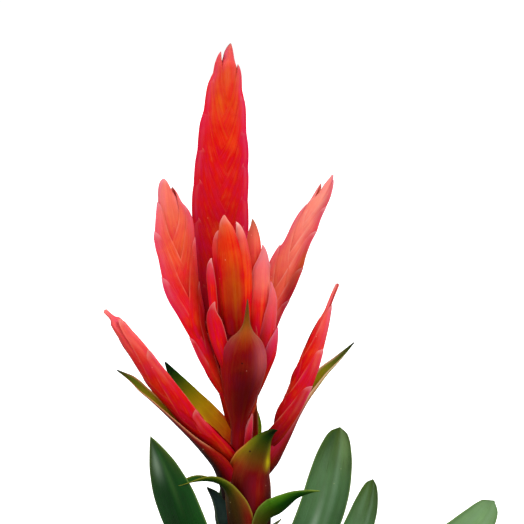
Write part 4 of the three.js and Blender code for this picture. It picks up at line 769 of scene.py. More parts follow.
# bracts that show their whole face, each as a sheet of its own
FACES = {
    "front_spike_bract_05": dict(thickness=0.5, keel=0.05, inner0=[-0.05, 1, 0.15], inner1=[-0.05, 1, 0.3],
        spine=[[-8.7, -23.5, 256.8], [-9.3, -26.5, 266.7], [-9.9, -29.5, 278.5], [-10.6, -32.0, 290.2], [-11.7, -34.2, 301.8], [-12.9, -36.0, 312.0], [-14.5, -37.8, 323.5], [-15.6, -38.4, 329.1], [-15.8, -38.6, 332.3], [-15.8, -38.6, 334.3]],
        rows=[[0.0, 6.4, 70], [0.131, 7.0, 68], [0.284, 7.4, 64], [0.434, 7.7, 61], [0.583, 7.7, 58], [0.715, 6.9, 57], [0.862, 5.0, 54], [0.935, 3.1, 50], [0.975, 1.5, 45], [1.0, 0.3, 35]]),
    "front_spike_bract_07": dict(thickness=0.5, keel=0.05, inner0=[-0.25, 1, 0.1], inner1=[-0.25, 1, 0.1],
        spine=[[-4.3, -19.5, 256.2], [-3.4, -23.0, 272.6], [-3.1, -26.0, 285.7], [-3.3, -28.6, 299.9], [-4.2, -30.8, 311.5], [-5.4, -32.4, 320.5], [-6.8, -33.2, 326.2], [-8.4, -33.6, 329.5]],
        rows=[[0.0, 5.0, 78], [0.223, 5.8, 74], [0.401, 5.9, 69], [0.593, 5.4, 64], [0.75, 4.4, 60], [0.872, 3.1, 54], [0.951, 1.7, 48], [1.0, 0.3, 35]]),
    "front_spike_bract_06": dict(thickness=0.5, keel=0.05, inner0=[0.3, 1, 0.1], inner1=[0.3, 1, 0.1],
        spine=[[-17.6, -19.0, 262.6], [-18.5, -22.5, 278.9], [-19.4, -25.0, 291.9], [-20.1, -27.0, 302.3], [-20.8, -29.0, 311.3], [-20.9, -30.0, 317.1], [-20.5, -30.5, 320.9], [-19.6, -31.0, 323.9]],
        rows=[[0.0, 5.0, 78], [0.267, 5.0, 73], [0.478, 4.3, 67], [0.647, 3.7, 62], [0.795, 3.5, 58], [0.888, 2.6, 54], [0.95, 1.6, 50], [1.0, 0.3, 35]]),
    "front_spike_bract_04": dict(thickness=0.45, keel=0.05, inner0=[0.35, 1, 0.1], inner1=[0.35, 1, 0.1],
        spine=[[-23.0, -21.0, 259.6], [-23.8, -24.5, 276.0], [-24.6, -27.0, 287.1], [-25.2, -28.5, 295.5], [-25.2, -29.2, 301.2], [-24.7, -29.5, 304.4], [-24.0, -29.6, 306.3]],
        rows=[[0.0, 2.6, 75], [0.351, 3.0, 70], [0.59, 3.1, 64], [0.769, 2.8, 60], [0.89, 2.0, 54], [0.958, 1.0, 46], [1.0, 0.3, 35]]),
    "front_spike_bract_02": dict(thickness=0.45, keel=0.05, inner0=[0.35, 1, 0.15], inner1=[0.35, 1, 0.15],
        spine=[[-15.2, -18.0, 232.3], [-19.2, -21.5, 245.6], [-21.7, -24.0, 255.6], [-23.3, -26.0, 264.1], [-24.1, -27.2, 270.3], [-23.4, -27.8, 275.1], [-22.0, -28.0, 278.6]],
        rows=[[0.0, 3.5, 75], [0.294, 5.4, 68], [0.51, 5.8, 62], [0.693, 5.3, 58], [0.823, 3.6, 52], [0.924, 1.7, 46], [1.0, 0.3, 35]]),
    "inner_right_spike_bract_08": dict(thickness=0.5, keel=0.05, inner0=[-0.1, 1, 0.15], inner1=[-0.1, 1, 0.15],
        spine=[[3.9, -14.0, 277.9], [3.6, -17.5, 294.3], [3.0, -20.0, 306.6], [2.7, -21.5, 315.0], [2.5, -22.3, 321.4], [2.4, -22.8, 325.9], [2.0, -23.0, 328.7], [1.7, -23.1, 330.6]],
        rows=[[0.0, 3.5, 75], [0.312, 5.0, 70], [0.548, 4.9, 66], [0.707, 4.5, 62], [0.827, 3.4, 56], [0.911, 2.0, 50], [0.965, 1.0, 44], [1.0, 0.3, 35]]),
    "inner_right_spike_bract_06": dict(thickness=0.5, keel=0.05, inner0=[-0.25, 1, 0.1], inner1=[-0.25, 1, 0.1],
        spine=[[5.8, -14.0, 249.1], [6.4, -17.0, 265.5], [7.4, -20.0, 281.8], [8.0, -22.5, 296.1], [9.0, -23.5, 304.4], [9.0, -24.0, 310.2], [8.0, -24.0, 314.5]],
        rows=[[0.0, 4.6, 80], [0.251, 6.0, 76], [0.502, 6.5, 71], [0.72, 5.7, 64], [0.847, 3.7, 56], [0.934, 1.8, 48], [1.0, 0.3, 35]]),
    "inner_right_spike_bract_04": dict(thickness=0.5, keel=0.05, inner0=[-0.45, 1, 0.1], inner1=[-0.45, 1, 0.1],
        spine=[[7.7, -11.0, 229.3], [10.6, -14.0, 244.6], [12.8, -16.5, 255.8], [14.2, -18.5, 267.0], [15.2, -19.5, 276.7], [14.8, -20.0, 283.1], [14.0, -20.0, 287.5], [13.3, -20.0, 290.7]],
        rows=[[0.0, 4.6, 82], [0.251, 5.4, 78], [0.437, 5.2, 72], [0.618, 4.5, 65], [0.774, 3.3, 58], [0.876, 2.2, 50], [0.948, 1.0, 44], [1.0, 0.3, 35]]),
    "inner_right_spike_bract_03": dict(thickness=0.5, keel=0.05, inner0=[-0.6, 1, 0.1], inner1=[-0.6, 1, 0.1],
        spine=[[2.6, -7.0, 212.5], [7.1, -10.0, 223.3], [10.9, -12.5, 232.8], [14.1, -14.5, 241.4], [15.8, -16.0, 250.0], [17.0, -16.5, 256.5], [17.7, -16.5, 260.9]],
        rows=[[0.0, 3.6, 82], [0.232, 4.6, 78], [0.433, 4.7, 73], [0.613, 4.7, 68], [0.787, 3.7, 60], [0.914, 1.9, 50], [1.0, 0.3, 35]]),
}
FACE_LOOKS = {
"front_spike_bract_05": dict(
    mid=[(0, "#980c04"), (0.2, "#a42404"), (0.36, "#c04204"), (0.52, "#d04804"), (0.66, "#e0460e"), (0.8, "#ea4624"), (0.92, "#e25440"), (1, "#ea8c80")],
    edge=[(0, "#b00806"), (0.3, "#cc1808"), (0.55, "#e02c0c"), (0.75, "#e84024"), (0.9, "#e8604c"), (1, "#ee988c")],
    patches=[(0.34, -0.2, 0.26, 0.42, "#b45808", 0.5)], noise=0.07,
    inside=[(0, "#c02010"), (0.6, "#e05030"), (1, "#f0907c")]),
"front_spike_bract_07": dict(
    mid=[(0, "#c81408"), (0.25, "#e02c10"), (0.5, "#ea4020"), (0.7, "#ec5038"), (0.85, "#ee6a58"), (0.95, "#f28c80"), (1, "#fcdcd4")],
    edge=[(0, "#c01410"), (0.3, "#dc2818"), (0.6, "#e84434"), (0.85, "#e85858"), (1, "#f8c0b8")],
    rim=("#f2705c", 0.5, 0.3), noise=0.07, inside=[(0, "#c02010"), (1, "#f0907c")]),
"front_spike_bract_06": dict(
    mid=[(0, "#a00008"), (0.3, "#d80410"), (0.5, "#e4141a"), (0.7, "#e63432"), (0.9, "#ea5450"), (1, "#f29890")],
    edge=[(0, "#900008"), (0.3, "#c80010"), (0.6, "#e01c28"), (0.85, "#e44048"), (1, "#f08c8c")],
    rim=("#f07870", 0.4, 0.2), noise=0.08, inside=[(0, "#b01010"), (1, "#f0907c")]),
"front_spike_bract_04": dict(
    mid=[(0, "#b00010"), (0.3, "#e81420"), (0.55, "#ea1c26"), (0.75, "#e43842"), (0.92, "#e0545c"), (1, "#f0aca8")],
    edge=[(0, "#a00010"), (0.3, "#d80c20"), (0.6, "#d81c2e"), (0.85, "#dc4856"), (1, "#f0a8a8")],
    rim=("#f49890", 0.35, 0.35), noise=0.08, inside=[(0, "#b01018"), (1, "#e87880")]),
"front_spike_bract_02": dict(
    mid=[(0, "#a00008"), (0.3, "#d81018"), (0.5, "#e82430"), (0.7, "#e22c38"), (0.88, "#d83440"), (1, "#e07878")],
    edge=[(0, "#980010"), (0.3, "#c80818"), (0.6, "#d81828"), (0.85, "#d83440"), (1, "#e07878")],
    rim=("#f8a8a0", 0.35, 0.45), noise=0.1, inside=[(0, "#b01018"), (1, "#e87880")]),
"inner_right_spike_bract_08": dict(
    mid=[(0, "#c81810"), (0.3, "#e43c2c"), (0.5, "#f05c48"), (0.7, "#f06858"), (0.84, "#ea6e5c"), (0.93, "#d46c58"), (1, "#90604c")],
    edge=[(0, "#c01814"), (0.4, "#e44438"), (0.75, "#e86050"), (0.9, "#d0705c"), (1, "#906850")],
    rim=("#f09070", 0.5, 0.3), noise=0.08, inside=[(0, "#c02010"), (1, "#e08070")]),
"inner_right_spike_bract_06": dict(
    mid=[(0, "#b81010"), (0.2, "#e02c20"), (0.4, "#f04434"), (0.6, "#fa6c62"), (0.78, "#f87874"), (0.92, "#f08484"), (1, "#e88890")],
    edge=[(0, "#b01018"), (0.25, "#dc2c2c"), (0.5, "#f45c5c"), (0.75, "#f07074"), (1, "#e48894")],
    patches=[(0.62, -0.85, 0.12, 0.3, "#fc8c7c", 0.6)],
    rim=("#fa9c90", 0.5, 0.6), noise=0.08, inside=[(0, "#c02010"), (1, "#f0907c")]),
"inner_right_spike_bract_04": dict(
    mid=[(0, "#900810"), (0.25, "#c0141c"), (0.45, "#e03438"), (0.65, "#ee5054"), (0.85, "#ec666a"), (1, "#e0747e")],
    edge=[(0, "#a00c18"), (0.3, "#d83038"), (0.55, "#f05c60"), (0.8, "#ea6a70"), (1, "#dc747e")],
    patches=[(0.4, 0.8, 0.3, 0.45, "#b01c28", 0.6)],
    rim=("#f07c88", 0.45, 0.35), noise=0.08, inside=[(0, "#b01018"), (1, "#e87880")]),
"inner_right_spike_bract_03": dict(
    mid=[(0, "#780410"), (0.3, "#a80c18"), (0.55, "#cc1c30"), (0.8, "#dc3c54"), (1, "#e4607c")],
    edge=[(0, "#800814"), (0.35, "#b01424"), (0.6, "#d43450"), (1, "#e46c88")],
    rim=("#ee7c8c", 0.5, 0.55), noise=0.08, inside=[(0, "#a01018"), (1, "#d86070")]),
}

# small corrections to the spikes' tables: [side, foot, top, half width]
BRACTS = {
    "top_spike": {16: [-1, 206.4, 250.3, 5.1], 15: [1, 196.7, 243.4, 5.4], 14: [-1, 184.8, 234.2, 9.8], 13: [1, 172.8, 224.4, 10.3]},
    "left_spike": {0: [1, 5.9, 65.9, 7.2], 1: [-1, 7.4, 69.4, 5.9], 2: [1, 40.3, 100.3, 12.4], 3: [-1, 44.8, 110.4, 12.6], 4: [1, 70.1, 130.1, 15.8],
                   5: [-1, 73.6, 139.6, 12.0], 6: [1, 100.1, 151.8, 13.4], 7: [-1, 100.7, 157, 6.9], 8: [1, 121.4, 165, 5.5], 9: [-1, 124.9, 171, 0.5]},
    "right_spike": {1: [1, 30.7, 90.7, 9.0], 2: [-1, 47.3, 109.3, 12.4], 3: [1, 55.9, 114, 10.0], 4: [-1, 64.9, 121.3, 10.2], 5: [1, 79.4, 140, 8.6],
                    6: [-1, 98.7, 151, 6.1], 7: [1, 103.5, 157, 5.9], 8: [1, 122.8, 174.2, 3.4], 9: [-1, 124.8, 168.2, 4.7], 10: [1, 135.8, 176.5, 0.4]},
    "low_left_spike": {0: [1, 5, 50, 11], 1: [-1, 10, 58, 14], 2: [-1, 24, 84, 11.8], 3: [1, 29, 99, 10.7], 4: [-1, 44, 118, 5.4], 6: [1, 62, 124.8, 4.5]},
    "low_right_spike": {0: [-1, 4, 48, 8.1], 1: [1, 11, 61, 11.6], 2: [-1, 24, 71, 8.3], 3: [1, 35, 85, 9.2], 4: [-1, 51, 103.3, 2.8], 6: [1, 60, 113, 2.4]},
}
YAW = {"low_left_spike": -42, "low_right_spike": -50}
for s in SPIKES:
    for k, row in BRACTS.get(s["name"], {}).items():
        s["bracts"][k:k + 1] = [row]
    s["yaw"] = YAW.get(s["name"], s["yaw"])
    if s["name"] == "right_spike":
        s["axis"][6], s["axis"][7] = [38.2, 6.0, 329.1], [46.1, 6.0, 341.9]
for number, s in enumerate(SPIKES):
    s["seed"] = float(number + 1)
    look = LOOKS[s["name"]]
    for k in range(len(s["bracts"])):
        if (s["name"], k) in LEFT_OUT:
            continue
        if s["name"] == "top_spike":
            label = f"top_bract_{k + 1:02d}"
            keeled(s, k, label + "_fine", [label], look)
        else:
            keeled(s, k, f"{s['name']}_bract_{k + 1:02d}", [s["name"]], look)

def rachis(s):
    c, sides = Curve(s["axis"]), 12
    x = np.linspace(0.5, c.length * 0.72, 44)
    C, T = c.at(x), c.tangent(x)
    A = across(np.broadcast_to(np.array([0, 1.0, 0]), T.shape), T)
    B = np.cross(T, A)
    ang = np.linspace(0, 2 * math.pi, sides, endpoint=False)
    r = (1.5 - 0.9 * x / c.length) * (1 + 0.08 * np.cos(x * 0.6))
    P = C[:, None] + A[:, None] * (r[:, None] * np.cos(ang))[..., None] + B[:, None] * (r[:, None] * np.sin(ang))[..., None]
    n = len(x)
    verts = np.concatenate([P.reshape(-1, 3), c.at(np.array([x[0], x[-1]]))]) * MM
    faces = [(i * sides + k, i * sides + (k + 1) % sides, (i + 1) * sides + (k + 1) % sides, (i + 1) * sides + k)
             for i in range(n - 1) for k in range(sides)]
    foot, top = n * sides, n * sides + 1
    for k in range(sides):
        faces.append(((k + 1) % sides, k, foot))
        faces.append(((n - 1) * sides + k, (n - 1) * sides + (k + 1) % sides, top))
    tone = ramp([(0, "#8a0810"), (0.5, "#b01818"), (1, "#d84838")], x / c.length)
    tones = np.broadcast_to(tone[:, None], (n, sides, 3)) * (1 + 0.1 * wobble(P, 0.3, s["seed"]))[..., None]
    tones = np.concatenate([tones.reshape(-1, 3), [tone[0]], [tone[-1]]])
    coords = np.stack(np.broadcast_arrays((x / 60.0)[:, None], (ang / (2 * math.pi))[None]), -1).reshape(-1, 2)
    coords = np.concatenate([coords, [[0, 0.5], [x[-1] / 60, 0.5]]])
    solid(s["name"] + "_rachis", verts, faces, tones, coords, BRACT, [s["name"]], 60)


for s in SPIKES:
    if s["name"] != "top_spike":
        rachis(s)

# ------------------------------------------------------------------ primary bracts and scape bracts
DARK, OLIVE = "#1c2c08", "#7e7a08"
SHAPES = {
    "primary_bract_front": dict(rows=[[0, 4.2, 80], [0.14, 4.8, 80], [0.25, 8.2, 70], [0.34, 11.3, 65], [0.43, 13.3, 61], [0.53, 14.8, 58],
        [0.6, 14.2, 56], [0.68, 11.9, 53], [0.73, 9.4, 50], [0.77, 6.2, 47], [0.8, 4.2, 45], [0.84, 2.5, 42], [0.89, 1.6, 40],
        [0.95, 0.9, 35], [1, 0.3, 30]]),
    "scape_bract_front": dict(thickness=0.8, keel=0.06, inner0=[0.1, 1, 0.1], inner1=[-0.3, 0.7, 0.6],
        spine=[[0.0, -17.0, 129.9], [0.0, -18.5, 146.5], [0.7, -19.0, 161.5], [3.9, -19.5, 173.3], [6.4, -20.2, 180.5], [9.3, -21.5, 187.2], [13.1, -23.5, 192.7], [15.9, -25.5, 195.3], [17.6, -27.0, 196.1]],
        rows=[[0.0, 12.4, 80], [0.229, 13.6, 78], [0.436, 14.2, 74], [0.604, 12.8, 66], [0.71, 9.8, 60], [0.811, 6.8, 54], [0.908, 3.9, 47], [0.967, 2.0, 42], [1.0, 0.3, 30]]),
    "scape_bract_left": dict(thickness=0.8, keel=0.06, inner0=[1.2, 1.8, 0.1], inner1=[0, -0.45, 0.89],
        spine=[[-9.0, -17.0, 120.1], [-10.2, -17.5, 135.2], [-12.1, -18.5, 145.9], [-14.0, -19.5, 153.9], [-17.8, -21.0, 159.3], [-23.5, -22.0, 162.1], [-29.9, -22.5, 162.8], [-38.6, -23.0, 162.0], [-46.2, -24.0, 159.9]],
        rows=[[0.0, 10, 66], [0.223, 10.2, 66], [0.382, 9.0, 62], [0.503, 6.0, 56], [0.604, 5.0, 50], [0.698, 5.8, 44], [0.792, 5.4, 42], [0.914, 3.0, 38], [1.0, 0.3, 30]]),
    "scape_bract_right": dict(thickness=0.8, keel=0.06, inner0=[-0.5, 0.8, 0.2], inner1=[-0.1, 0.35, 0.9],
        spine=[[5.8, -18.0, 120.4], [7.7, -19.0, 132.3], [11.9, -20.0, 139.0], [17.7, -21.0, 142.5], [23.0, -22.0, 146.6], [28.4, -22.5, 150.9], [33.8, -23.0, 153.7], [39.5, -23.5, 155.6], [44.9, -24.0, 156.5]],
        rows=[[0.0, 5.2, 66], [0.208, 5.6, 64], [0.345, 7.6, 62], [0.462, 9.4, 56], [0.579, 8.6, 52], [0.698, 6.4, 47], [0.803, 4.2, 43], [0.906, 2.2, 40], [1.0, 0.3, 30]]),
    "primary_bract_low_left": dict(thickness=0.7, keel=0.1, inner0=[0.85, 0.45, 0.27], inner1=[0.45, -0.6, 0.75],
        spine=[[-16.8, -6.0, 147.1], [-19.3, -7.0, 156.5], [-23.8, -9.0, 168.7], [-29.8, -10.5, 177.4], [-38.1, -12.0, 187.4], [-49.1, -15.0, 199.6], [-63.2, -18.0, 214.3], [-69.8, -19.2, 220.6], [-75.5, -20.0, 227.0], [-80.2, -20.6, 230.8], [-84.9, -21.0, 234.1]],
        rows=[[0.0, 9.0, 80], [0.086, 10.5, 80], [0.201, 10.5, 76], [0.296, 9.2, 68], [0.411, 6.4, 60], [0.558, 5.0, 56], [0.74, 4.4, 52], [0.821, 4.4, 48], [0.896, 3.2, 44], [0.949, 1.6, 40], [1.0, 0.3, 30]]),
    "primary_bract_low_right": dict(thickness=0.7, keel=0.1, inner0=[-0.6, 0.3, 0.7], inner1=[-0.7, -0.5, 0.6],
        spine=[[2.5, -1.0, 151.4], [11.6, -1.5, 161.9], [17.7, -2.0, 169.9], [22.5, -2.5, 179.8], [27.0, -3.0, 189.7], [31.5, -3.0, 200.1], [37.6, -2.0, 211.3], [44.0, -0.8, 220.6], [49.5, 0.5, 228.2], [56.6, 2.5, 235.7], [62.4, 3.4, 242.4], [67.6, 4.0, 248.5]],
        rows=[[0.0, 9.0, 85], [0.118, 10.2, 86], [0.203, 10.2, 84], [0.296, 9.2, 78], [0.388, 8.0, 68], [0.484, 7.2, 60], [0.592, 7.0, 55], [0.688, 7.4, 52], [0.768, 6.6, 48], [0.857, 4.2, 44], [0.932, 2.0, 40], [1.0, 0.3, 30]]),
    "primary_bract_right": dict(thickness=0.6, keel=0.05, inner0=[-0.1, -1, 0.1], inner1=[-0.1, -1, 0.2],
        spine=[[0.3, 6.0, 176.1], [2.2, 8.0, 181.0], [3.7, 10.0, 185.9], [4.9, 12.0, 192.0], [4.8, 14.0, 198.2], [3.9, 15.0, 203.2]],
        rows=[[0.0, 4.0, 70], [0.19, 3.9, 66], [0.376, 3.6, 60], [0.604, 2.8, 50], [0.828, 1.5, 42], [1.0, 0.3, 30]]),
    "primary_bract_inner_right": dict(thickness=0.6, keel=0.06, inner0=[-0.5, 1, 0.1], inner1=[-0.5, 1, 0.1],
        spine=[[-1.6, -4.5, 175.6], [-1.0, -5.0, 183.5], [-0.0, -5.5, 191.4], [0.8, -5.8, 198.0], [1.5, -6.0, 203.6]],
        rows=[[0.0, 3.4, 80], [0.283, 3.6, 76], [0.566, 3.0, 70], [0.801, 1.8, 58], [1.0, 0.3, 30]]),
    "scape_bract_low_left": dict(thickness=0.7, keel=0.06, inner0=[0.8, -0.4, 0.3], inner1=[0.6, -0.5, 0.6],
        spine=[[-9.2, 0.5, 102.2], [-15.7, 1.5, 115.9], [-20.5, 3.0, 129.4], [-21.5, 5.0, 138.2], [-24.1, 7.0, 145.7], [-26.8, 8.3, 150.1], [-28.4, 9.0, 152.6]],
        rows=[[0.0, 8, 80], [0.274, 8.5, 74], [0.536, 8.5, 66], [0.701, 7.6, 60], [0.849, 5.0, 54], [0.944, 2.4, 46], [1.0, 0.3, 30]]),
}
FOLIAGE = {
    "primary_bract_front": dict(slot="primary_bract_red", material=MAROON, mid=0.3, look=dict(
        mid=[(0, "#940002"), (0.12, "#880002"), (0.24, "#700002"), (0.38, "#660202"), (0.52, "#780808"), (0.64, "#8c1c18"), (0.72, "#a83a28"),
             (0.8, "#b85c30"), (0.9, "#805420"), (1, "#4a4a10")],
        edge=[(0, "#900006"), (0.15, "#880208"), (0.4, "#84040c"), (0.56, "#941420"), (0.68, "#a83c44"), (0.76, "#a85a40"), (0.84, "#8c5a20"), (1, "#4a4a10")],
        # the pale pink patch at (0.60, -0.8) is a painted sheen on the right shoulder
        patches=[(0.60, -0.8, 0.13, 0.34, "#d0686a", 0.65), (0.62, 0.75, 0.05, 0.2, "#a03844", 0.25), (0.36, -0.3, 0.14, 0.34, "#500001", 0.4), (0.46, 0.7, 0.16, 0.36, "#a0000a", 0.65),
                 (0.53, 0.05, 0.006, 0.10, "#200404", 0.8)],
        rim=("#d07068", 0.5, 0.22), inside=[(0, "#a01018"), (0.6, "#8a1418"), (1, "#6a5010")])),
    "primary_bract_low_left": dict(slot="primary_bract_green", material=GREEN, look=dict(
        # painted light and shade: mid, on the keel side that faces down, is dark maroon as in shade; edge, toward the
        # front margins that face up, is bright red as lit
        mid=[(0, "#340006"), (0.15, "#3c0006"), (0.35, "#440208"), (0.5, "#58080e"), (0.65, "#6c1a10"), (0.78, "#6c300c"), (0.9, "#4c500c"), (1, DARK)],
        edge=[(0, "#80000c"), (0.12, "#a00018"), (0.24, "#a00418"), (0.38, "#9c1424"), (0.6, "#882028"), (0.75, "#883812"), (0.9, "#5c5a0e"), (1, DARK)],
        rim=("#eca078", 0.6, 0.8, 0, (0.28, 0.98)), inside=[(0, "#d00420"), (0.2, "#d80828"), (0.35, "#b81028"), (0.55, "#94700c"), (0.75, "#8c8408"), (0.88, "#5c6a0c"), (1, DARK)])),
    "primary_bract_low_right": dict(slot="primary_bract_green", material=GREEN, look=dict(
        mid=[(0, "#4a0408"), (0.2, "#6c0810"), (0.38, "#8c1424"), (0.52, "#a83c44"), (0.64, "#a87040"), (0.78, "#84800c"), (0.9, "#44560c"), (1, DARK)],
        edge=[(0, "#700410"), (0.2, "#9c1024"), (0.38, "#c8384c"), (0.52, "#e08878"), (0.66, "#e4b070"), (0.8, "#a8a030"), (0.92, "#566410"), (1, DARK)],
        rim=("#f4c8a8", 0.8, 0.8, 0, (0.3, 0.95)), inside=[(0, "#b00c18"), (0.4, "#a83018"), (0.55, "#a89a08"), (0.72, "#9c9c0a"), (0.86, "#5c7010"), (1, DARK)])),
    "primary_bract_left": dict(slot="primary_bract_green", material=GREEN, look=dict(
        mid=[(0, "#c81018"), (0.18, "#c83018"), (0.32, "#b06010"), (0.5, "#8c7a08"), (0.7, "#5a6a0c"), (0.84, "#2c4a10"), (1, "#142a10")],
        edge=[(0, "#c81018"), (0.25, "#c04018"), (0.45, "#96700c"), (0.7, "#4c640c"), (1, "#142a10")],
        rim=("#e03c48", 1.0, 0.8, 0, (0.0, 0.42)), inside=[(0, "#e81c18"), (0.12, "#ec5c10"), (0.26, "#e89c04"), (0.48, "#d8c004"), (0.66, "#98a404"), (0.8, "#4c7410"), (0.9, "#1e4814"), (1, "#102c12")])),
    "primary_bract_inner_right": dict(slot="primary_bract_red", material=MAROON, look=dict(
        mid=[(0, "#90040c"), (0.4, "#b81024"), (0.75, "#dc3c50"), (1, "#d85c60")], edge=[(0, "#b0102c"), (0.5, "#e0586c"), (1, "#e08080")],
        rim=("#f09ca0", 0.5, 0.5))),
    "primary_bract_right": dict(slot="primary_bract_green", material=GREEN, look=dict(
        mid=[(0, "#8a3410"), (0.25, "#88880c"), (0.5, "#6c900c"), (0.8, "#507c0c"), (1, "#2c5410")], rim=("#b8b850", 0.5, 0.4),
        inside=[(0, "#9a4410"), (0.25, "#a4a810"), (0.5, "#8cb010"), (0.8, "#6ca010"), (1, "#2c5810")])),
    "primary_bract_back": dict(slot="primary_bract_green", material=GREEN, look=dict(
        mid=[(0, "#a01018"), (0.3, "#8a3014"), (0.5, "#7a6810"), (0.75, "#4c600e"), (1, DARK)], rim=("#d8a070", 0.7, 0.5))),
    "scape_bract_front": dict(slot="scape_bract", material=MAROON, look=dict(
        mid=[(0, "#400600"), (0.3, "#540c00"), (0.42, "#641200"), (0.52, "#702400"), (0.62, "#684400"), (0.76, "#504e04"), (0.86, "#34480a"), (0.94, "#1e300a"), (1, "#2c3c0a")],
        edge=[(0, "#3c0400"), (0.3, "#500600"), (0.45, "#6c1800"), (0.52, "#7c2800"), (0.6, "#906808"), (0.72, "#8a8008"), (0.85, "#4c5c0a"), (1, "#1c2c0a")],
        # the small yellow patch at (0.63, -0.62) is a painted highlight
        patches=[(0.36, -0.25, 0.20, 0.32, "#8c2000", 0.75), (0.50, 0.62, 0.12, 0.3, "#a44406", 0.6), (0.45, -0.75, 0.09, 0.3, "#5c0c00", 0.65), (0.36, 0.5, 0.16, 0.3, "#4a2000", 0.6), (0.63, -0.62, 0.06, 0.16, "#d8c820", 0.65)],
        rim=("#e88c50", 0.7, 0.7, 0, (0.15, 0.8)), inside=[(0, "#8a1010"), (0.4, "#8a4010"), (0.7, "#5c7010"), (1, "#1c3408")])),
    "scape_bract_left": dict(slot="scape_bract", material=GREEN, look=dict(
        mid=[(0, "#3a2c0c"), (0.25, "#44340c"), (0.42, "#4a3c0c"), (0.55, "#38400c"), (0.7, "#2a440c"), (0.9, "#3a5c10"), (1, "#5c7c28")],
        edge=[(0, "#6a2408"), (0.25, "#7c2c08"), (0.42, "#7a4c10"), (0.6, "#546414"), (0.9, "#4c6c18"), (1, "#6c8c34")],
        rim=("#a89c40", 0.6, 0.6), inside=[(0, "#5a3414"), (0.4, "#3c2c0c"), (0.55, "#2c2c08"), (0.7, "#243c08"), (0.88, "#345c10"), (1, "#5a7a2c")])),
    "scape_bract_right": dict(slot="scape_bract", material=GREEN, look=dict(
        mid=[(0, "#3c3010"), (0.2, "#4c4010"), (0.36, "#404c0a"), (0.55, "#2c4a06"), (0.75, "#204006"), (0.9, "#34560e"), (1, "#6c8c38")],
        edge=[(0, "#6a3414"), (0.25, "#544c10"), (0.42, "#4c7408"), (0.6, "#4c7c08"), (0.8, "#34600a"), (1, "#6c8c38")],
        rim=("#98a850", 0.5, 0.5), inside=[(0, "#6a4414"), (0.3, "#606c0c"), (0.5, "#305808"), (0.7, "#183808"), (1, "#1c3c0c")])),
    "scape_bract_low_left": dict(slot="scape_bract", material=GREEN, look=dict(
        mid=[(0, "#3a3414"), (0.3, "#2c3c18"), (0.6, "#24381c"), (0.85, "#20341c"), (1, "#1c2c14")],
        # inside: the grey-blue middle stops (0.6 to 0.8) are a painted glossy highlight
        rim=("#6a7c50", 0.5, 0.4), inside=[(0, "#4c4a1c"), (0.35, "#34482c"), (0.6, "#5c7470"), (0.8, "#46605c"), (1, "#1c2c18")])),
}
LOW = dict(slot="scape_bract", material=GREEN, look=dict(
    mid=[(0, "#4a3414"), (0.3, "#4c4c14"), (0.6, "#3a5210"), (0.85, "#2a460e"), (1, "#1c300c")],
    edge=[(0, "#5c3c18"), (0.4, "#5a5a1c"), (0.8, "#3c5814"), (1, "#1c300c")],
    rim=("#a8ac70", 0.6, 0.4), inside=[(0, "#5c4a1c"), (0.4, "#4c5e14"), (0.8, "#34560f"), (1, "#1c300c")]))

for number, (label, face) in enumerate(FACES.items()):
    s = {**face, "seed": 5.0 + 2.9 * number, "ruffle": 0.25}
    sheet(s, label, [label[:-9]], BRACT, painter(FACE_LOOKS[label], s["seed"]), nu=56, nv=24, mid=0.12, edge_roll=0.0)
for number, s in enumerate(SHEETS):
    spec = FOLIAGE.get(s["name"], LOW)
    s["seed"] = 11.0 + 3.7 * number
    s.update(SHAPES.get(s["name"], {}))
    sheet(s, s["name"] + "_fine", [s["name"]], spec["material"], painter(spec["look"], s["seed"]),
          mid=spec.get("mid", 0.22), edge_roll=spec.get("roll", 0.3))

# ------------------------------------------------------------------ rosette leaves
SHEATH_ANGLE = 57
STATIONS = [0, 0.14, 0.35, 0.58, 0.8, 1]


def leaf_spine(l):
    lift, n = profile([[t, v] for t, v in zip(STATIONS, l["lift"])]), 40
    a = math.radians(l["azimuth"])
    P = [np.array([l["radius"] * math.cos(a), l["radius"] * math.sin(a), l["foot"]])]
    for i in range(n):
        w = (i + 0.5) / n
        e, a = math.radians(float(lift(w))), math.radians(l["azimuth"] + l["sweep"] * w * w)
        P.append(P[-1] + np.array([math.cos(e) * math.cos(a), math.cos(e) * math.sin(a), math.sin(e)]) * l["length"] / n)
    return [list(p) for p in P[::2]]


# the leaves' dark green, as a leaf in shade shows it; the lighter copy below is the same green painted lighter, as lit
LEAF_LOOK = dict(
    mid=[(0, "#5a4a2a"), (0.10, "#6a6a34"), (0.22, "#3c5a1c"), (0.45, "#264a12"), (0.75, "#1f4210"), (0.93, "#25480f"), (1, "#3a4a14")],
    edge=[(0, "#6a5a34"), (0.12, "#6a743a"), (0.25, "#436420"), (0.5, "#2c5216"), (0.8, "#284c14"), (1, "#4a5418")],
    rim=("#8aa45c", 0.55, 0.55, 0, (0.2, 1.2)), noise=0.10,
    inside=[(0, "#7a6c3c"), (0.12, "#6a7a3a"), (0.25, "#3c6420"), (0.5, "#2a5616"), (0.8, "#264e14"), (1, "#3a4c14")])
